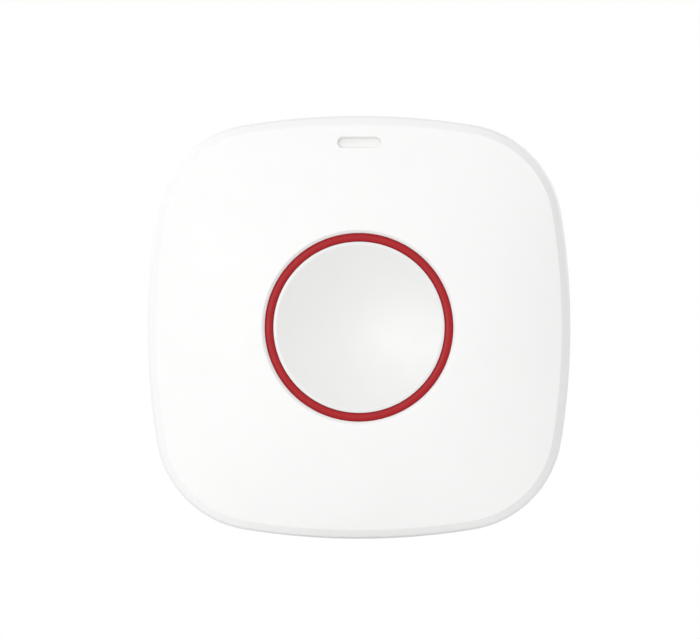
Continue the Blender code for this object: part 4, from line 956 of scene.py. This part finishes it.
def make_screws(nodes, shank_radius, head_height, flipped):
    """Pan-head screws, drawn with the head at the wall, or flipped to have it at the front."""
    low, high = levels(nodes[0])
    head_radius = extent(nodes[0])[0] / 2
    corners = screw_section(head_radius, head_height, shank_radius, high - low)
    for node, turn in zip(nodes, SCREW_TURNS):
        screw = turned(f"pan_{node}", corners, steps=SMALL_ROUND_STEPS)
        cut(screw, *cross_recess(head_radius, head_height))
        stand = Matrix.Rotation(math.pi if flipped else 0, 4, "X")
        place = Matrix.Translation((*middle(node), high if flipped else low))
        move(screw, place @ stand @ Matrix.Rotation(turn, 4, "Z"))
        dress(screw, "screw_steel", node)


# Battery door, cell and holder

def make_bayonet_door():
    """Round door with a rim, two lugs and a coin slot in its back."""
    low, high = levels("battery_door")
    rim_inside = DOOR_RADIUS - DOOR_RIM_WALL
    corners = [
        (DOOR_RADIUS / 2, low),
        (DOOR_RADIUS, low, FINE_ROUNDING),
        (DOOR_RADIUS, high, FINE_ROUNDING),
        (rim_inside, high, FINE_ROUNDING),
        (rim_inside, FLOOR_HIGH),
        (DOOR_RADIUS / 2, FLOOR_HIGH),
    ]
    door = turned("bayonet_door", corners)
    root = DOOR_RADIUS - DOOR_RIM_WALL / 2
    lug_low = FLOOR_HIGH + SEAT_GAP
    lugs = []
    for side in (-1, 1):
        place = (side * (root + DOOR_LUG_REACH) / 2, 0)
        outline = growing_rectangle(DOOR_LUG_REACH - root, DOOR_LUG_WIDTH, SOFT_ROUNDING, place)
        lugs.append(pillow("lug", outline, lug_low, lug_low + DOOR_LUG_THICKNESS, FINE_ROUNDING))
    join(door, *lugs)
    slot = growing_stadium(COIN_SLOT_LENGTH, COIN_SLOT_WIDTH)
    cut(door, mouth("coin_slot", slot, low, low + COIN_SLOT_DEPTH, FINE_ROUNDING))
    dress(door, "case_white", "battery_door", body="door")


def make_cell():
    """Coin cell: a can crimped over a black gasket round the cap."""
    low, high = levels("coin_cell")
    can_high = high - CELL_STEP
    crimp = CELL_RADIUS - CELL_CRIMP
    cap_radius = crimp - GASKET_WIDTH
    groove = can_high - CELL_STEP
    can = [
        (0, low),
        (CELL_RADIUS, low, CELL_CORNER),
        (CELL_RADIUS, can_high, CELL_SHOULDER),
        (crimp, can_high, GASKET_SINK),
        (crimp, groove),
        (cap_radius, groove),
        (cap_radius, high, CELL_SHOULDER),
        (0, high),
    ]
    dress(turned("crimped_cell", can), "cell_steel", "coin_cell")
    gasket_high = can_high - GASKET_SINK
    gasket = [
        (cap_radius + CAP_GAP, groove + CAP_GAP),
        (cap_radius + CAP_GAP, gasket_high),
        (crimp - CAP_GAP, gasket_high),
        (crimp - CAP_GAP, groove + CAP_GAP),
    ]
    dress(turned("cell_gasket", gasket, closed=True), "black_plastic", "coin_cell")


def make_cradle():
    """Ring round the cell, open at the right for the side contact."""
    low, high = levels("battery_holder")
    outside = extent("battery_holder")[1] / 2
    inside = outside - HOLDER_WALL
    corners = [
        (inside, low, FINE_ROUNDING),
        (inside, high, FINE_ROUNDING),
        (outside, high, FINE_ROUNDING),
        (outside, low, FINE_ROUNDING),
    ]
    cradle = turned("cell_cradle", corners, closed=True)
    opening = rectangle(2 * (HOLDER_WALL + SEAT_GAP), CONTACT_WIDTH + 2 * SEAT_GAP, (outside, 0))
    cut(cradle, prism("opening", opening, low - OVERRUN, high + OVERRUN))
    dress(cradle, "black_plastic", "battery_holder")


# Board and what it carries

def make_board():
    """Board with room round the shell's posts, and holes for its own screws."""
    board = pillow("etched_board", growing_case(BOARD_INSET), BOARD_LOW, BOARD_HIGH, BOARD_ROUNDING)
    places = [(CASE_POST_RADIUS + SLIDE_GAP, screw) for screw in CASE_SCREWS]
    places += [(BOARD_SCREW_RADIUS + SEAT_GAP, screw) for screw in BOARD_SCREWS]
    low = BOARD_LOW - OVERRUN
    high = BOARD_HIGH + OVERRUN
    cut(board, *[pin(radius, middle(screw), low, high) for radius, screw in places])
    dress(board, "board_green", "circuit_board")


def make_chip():
    """Chip with a dimple that marks its first pin."""
    (x, y), (width, height), (low, high) = measures("controller_chip")
    outline = growing_rectangle(width, height, FINE_ROUNDING, (x, y))
    chip = pillow("marked_chip", outline, low, high, FINE_ROUNDING / 2)
    mark_place = (x - width / 2 + CHIP_MARK_INSET, y + height / 2 - CHIP_MARK_INSET)
    mark = growing_circle(CHIP_MARK_RADIUS, mark_place)
    cut(chip, mouth("dimple", mark, high, high - CHIP_MARK_DEPTH, CHIP_MARK_DEPTH / 2))
    dress(chip, "black_plastic", "controller_chip")


def make_capacitor_can():
    """Metal can with the groove that crimps it."""
    place, (width, _), (low, high) = measures("bulk_capacitor")
    radius = width / 2
    waist = low + CAN_GROOVE_RISE
    corners = [
        (0, low),
        (radius, low, FINE_ROUNDING),
        (radius, waist - CAN_GROOVE),
        (radius - CAN_GROOVE, waist, FINE_ROUNDING),
        (radius, waist + CAN_GROOVE),
        (radius, high, SOFT_ROUNDING),
        (0, high),
    ]
    can = turned("capacitor_can", corners, steps=MIDDLING_ROUND_STEPS, place=place)
    dress(can, "capacitor_aluminium", "bulk_capacitor")


def make_crystal_can():
    """Metal can welded to a wider rim."""
    place, (length, width), (low, high) = measures("crystal")
    rim = growing_stadium(length, width, place)
    can = growing_stadium(length - 2 * CRYSTAL_RIM, width - 2 * CRYSTAL_RIM, place)
    crystal = pillow("crystal_can", rim, low, low + CRYSTAL_RIM_THICKNESS, FINE_ROUNDING)
    can_low = low + CRYSTAL_RIM_THICKNESS / 2
    join(crystal, pillow("can", can, can_low, high, FINE_ROUNDING))
    dress(crystal, "contact_nickel", "crystal")


def make_indicator():
    place, size, ends = measures("status_led")
    outline = growing_rectangle(*size, SOFT_ROUNDING, place)
    dress(pillow("indicator_light", outline, *ends, SOFT_ROUNDING), "frosted_lens", "status_led")


def make_antenna():
    """Wound wire that lies on the board."""
    (x, y), (width, length), (low, high) = measures("antenna_coil")
    radius = width / 2 - ANTENNA_WIRE_RADIUS
    antenna = coil("wound_antenna", radius, ANTENNA_WIRE_RADIUS, ANTENNA_TURNS, length)
    place = Matrix.Translation((x, y + length / 2, (low + high) / 2))
    move(antenna, place @ Matrix.Rotation(math.pi / 2, 4, "X"))
    dress(antenna, "antenna_brass", "antenna_coil")


# Switches, springs and plunger

def make_push_switch():
    """Housing with a round well, and the stem in it."""
    low, high = levels("switch_body")
    outline = growing_rectangle(*extent("switch_body"), SOFT_ROUNDING)
    housing = pillow("switch_housing", outline, low, high, FINE_ROUNDING)
    stem_low, stem_high = levels("switch_stem")
    stem_radius = extent("switch_stem")[0] / 2
    well = growing_circle(stem_radius + SWITCH_WELL_GAP)
    cut(housing, mouth("well", well, high, low + SWITCH_FLOOR, SWITCH_WELL_GAP))
    dress(housing, "black_plastic", "switch_body")
    corners = [
        (0, stem_low),
        (stem_radius, stem_low, FINE_ROUNDING),
        (stem_radius, stem_high, SOFT_ROUNDING),
        (0, stem_high),
    ]
    stem = turned("push_stem", corners, steps=MIDDLING_ROUND_STEPS)
    dress(stem, "carrier_grey", "switch_stem", body="stem")


def make_spring(name, node, wire_radius, place):
    """A coil spring that is as wide and as long as its node."""
    low, high = levels(node)
    radius = extent(node)[1] / 2 - wire_radius
    spring = coil(name, radius, wire_radius, SPRING_TURNS, high - low, SPRING_CLOSE_TURNS)
    move(spring, Matrix.Translation((*place, low)))
    dress(spring, "spring_steel", node)
    return spring


def make_return_spring():
    """Spring that the button presses on, sitting on a seat whose collar keeps it in the middle."""
    low, high = levels("spring_seat")
    seat_radius = extent("spring_seat")[0] / 2
    collar = extent("return_spring")[1] / 2 - 2 * RETURN_WIRE_RADIUS - SEAT_GAP
    corners = [
        (collar - SEAT_WALL, high, FINE_ROUNDING),
        (collar, high, FINE_ROUNDING),
        (collar, low + SEAT_WALL),
        (seat_radius, low + SEAT_WALL, FINE_ROUNDING),
        (seat_radius, low, FINE_ROUNDING),
        (collar - SEAT_WALL, low, FINE_ROUNDING),
    ]
    seat = turned("collared_seat", corners, closed=True, steps=MIDDLING_ROUND_STEPS)
    dress(seat, "carrier_grey", "spring_seat")
    spring = make_spring("lift_spring", "return_spring", RETURN_WIRE_RADIUS, (0, 0))
    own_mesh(spring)


def make_plunger():
    """Flanged pin with a rounded tip that stands on the wall plate, and its spring."""
    low, high = levels("tamper_plunger")
    flange_high = levels("tamper_spring")[0] - SEAT_GAP
    flange_low = flange_high - PLUNGER_FLANGE_THICKNESS
    flange_radius = extent("tamper_plunger")[0] / 2
    corners = [
        (0, low),
        (PLUNGER_TIP_RADIUS, low, PLUNGER_TIP_ROUNDING),
        (PLUNGER_TIP_RADIUS, flange_low),
        (flange_radius, flange_low, FINE_ROUNDING),
        (flange_radius, flange_high, FINE_ROUNDING),
        (PLUNGER_STEM_RADIUS, flange_high),
        (PLUNGER_STEM_RADIUS, high, SOFT_ROUNDING),
        (0, high),
    ]
    plunger = turned("rounded_plunger", corners, steps=MIDDLING_ROUND_STEPS, place=PLUNGER_PLACE)
    dress(plunger, "carrier_grey", "tamper_plunger", body="plunger")
    make_spring("plunger_spring", "tamper_spring", TAMPER_WIRE_RADIUS, PLUNGER_PLACE)


def make_tamper_switch():
    """Small switch whose nib rides on the plunger's flange."""
    (x, y), (width, height), (low, high) = measures("tamper_switch")
    outline = growing_rectangle(width, height, SOFT_ROUNDING, (x, y))
    body_low = low + NIB_HEIGHT
    switch = pillow("sense_switch", outline, body_low, high, FINE_ROUNDING)
    nib = growing_circle(NIB_RADIUS, (x - width / 2 + 2 * NIB_RADIUS, y))
    join(switch, pillow("nib", nib, low, body_low + NIB_HEIGHT, FINE_ROUNDING))
    dress(switch, "black_plastic", "tamper_switch")


# Floor, light and camera

FLOOR_SIDE = 8.0
FLOOR_COLOUR = (0.97, 0.97, 0.97, 1)
FLOOR_DROP = 6.0 * MM

# The world's soft light: its even part, and how it grows towards the right, the back and the top
WORLD_EVEN = 0.655
WORLD_LEAN = (-0.325, -0.345, 0.129)

LAMP_DISTANCE = 0.8

# By name: degrees away from the front, degrees round the view from its right, side length, watts
LAMPS = {
    "front": (4, 90, 0.15, 0.14),
    "left_front": (15, 168, 0.20, 0.70),
    "left": (30, 168, 0.20, 0.12),
    "top": (72, 90, 0.25, 0.36),
    "back_left": (140, 150, 0.40, 0.90),
    "back_right": (140, 30, 0.40, 0.90),
}


def seen(tree):
    """One for what the camera, a reflection or clear material sees, and zero for diffuse light."""
    path = tree.nodes.new("ShaderNodeLightPath")
    total = path.outputs["Is Camera Ray"]
    for kind in ("Is Glossy Ray", "Is Transmission Ray"):
        either = tree.nodes.new("ShaderNodeMath")
        either.operation = "MAXIMUM"
        tree.links.new(total, either.inputs[0])
        tree.links.new(path.outputs[kind], either.inputs[1])
        total = either.outputs["Value"]
    return total


def soft_light(tree):
    """Light that comes most from the front, the left and the top."""
    coordinates = tree.nodes.new("ShaderNodeTexCoord")
    lean = tree.nodes.new("ShaderNodeVectorMath")
    lean.operation = "DOT_PRODUCT"
    lean.inputs[1].default_value = WORLD_LEAN
    tree.links.new(coordinates.outputs["Generated"], lean.inputs[0])
    level = tree.nodes.new("ShaderNodeMath")
    level.operation = "ADD"
    level.inputs[1].default_value = WORLD_EVEN
    tree.links.new(lean.outputs["Value"], level.inputs[0])
    return level.outputs["Value"]


def make_world():
    """White behind the object and in its gloss, with a soft light on everything."""
    world = bpy.data.worlds.new("studio")
    bpy.context.scene.world = world
    world.use_nodes = True
    tree = world.node_tree
    background = tree.nodes["Background"]
    background.inputs["Color"].default_value = (1, 1, 1, 1)
    strength = tree.nodes.new("ShaderNodeMix")
    strength.inputs["B"].default_value = 1.0
    tree.links.new(soft_light(tree), strength.inputs["A"])
    tree.links.new(seen(tree), strength.inputs["Factor"])
    tree.links.new(strength.outputs["Result"], background.inputs["Strength"])


def make_floor():
    """A pale floor for the shadow, a little below the object, which hangs on a wall in use."""
    shape = bmesh.new()
    bmesh.ops.create_grid(shape, x_segments=1, y_segments=1, size=FLOOR_SIDE / 2)
    mesh = bpy.data.meshes.new("floor")
    shape.to_mesh(mesh)
    shape.free()
    floor = put("floor", mesh)
    floor.location.z = CAD_BOX[0].z - FLOOR_DROP
    material = bpy.data.materials.new("floor")
    material.use_nodes = True
    shader = material.node_tree.nodes["Principled BSDF"]
    shader.inputs["Base Color"].default_value = FLOOR_COLOUR
    shader.inputs["Roughness"].default_value = 1.0
    shader.inputs["Specular IOR Level"].default_value = 0.0
    mesh.materials.append(material)


def make_lamps():
    for name, (away, around, side, watts) in LAMPS.items():
        lamp = bpy.data.lights.new(name, "AREA")
        lamp.size = side
        lamp.energy = watts
        right, up = polar(math.sin(math.radians(away)), math.radians(around))
        toward = Vector((right, -math.cos(math.radians(away)), up))
        holder = put(name, lamp)
        holder.location = toward * LAMP_DISTANCE
        holder.rotation_euler = toward.to_track_quat("Z", "Y").to_euler()


# The photograph's frame, in its pixels
FRAME_WIDTH = 700
CASE_PIXELS = 423
AIM_RIGHT = -9.0
AIM_UP = 7.8

PIXEL = 2 * HALF_WIDTH / CASE_PIXELS
CAMERA_DISTANCE = 0.6


def make_camera():
    """Seen straight on from far away, as the photograph shows it."""
    camera = bpy.data.cameras.new("camera")
    camera.type = "ORTHO"
    camera.ortho_scale = FRAME_WIDTH * PIXEL
    holder = put("camera", camera)
    holder.location = (AIM_RIGHT * PIXEL, -CAMERA_DISTANCE, AIM_UP * PIXEL)
    holder.rotation_euler = (math.pi / 2, 0, 0)
    bpy.context.scene.camera = holder


# All of it in turn

finish_nodes()
make_front_shell()
make_status_window()
make_ring_bead()
make_dished_cap()
make_carrier()
make_rear_shell()
make_mounting_plate()
make_screws(CASE_SCREWS, CASE_SCREW_RADIUS, CASE_SCREW_HEAD_HEIGHT, flipped=False)
make_screws(BOARD_SCREWS, BOARD_SCREW_RADIUS, BOARD_SCREW_HEAD_HEIGHT, flipped=True)
make_bayonet_door()
make_cell()
make_cradle()
make_board()
make_chip()
make_capacitor_can()
make_crystal_can()
make_indicator()
make_antenna()
make_push_switch()
make_return_spring()
make_plunger()
make_tamper_switch()
make_world()
make_floor()
make_lamps()
make_camera()
bpy.context.scene.view_settings.view_transform = "Standard"
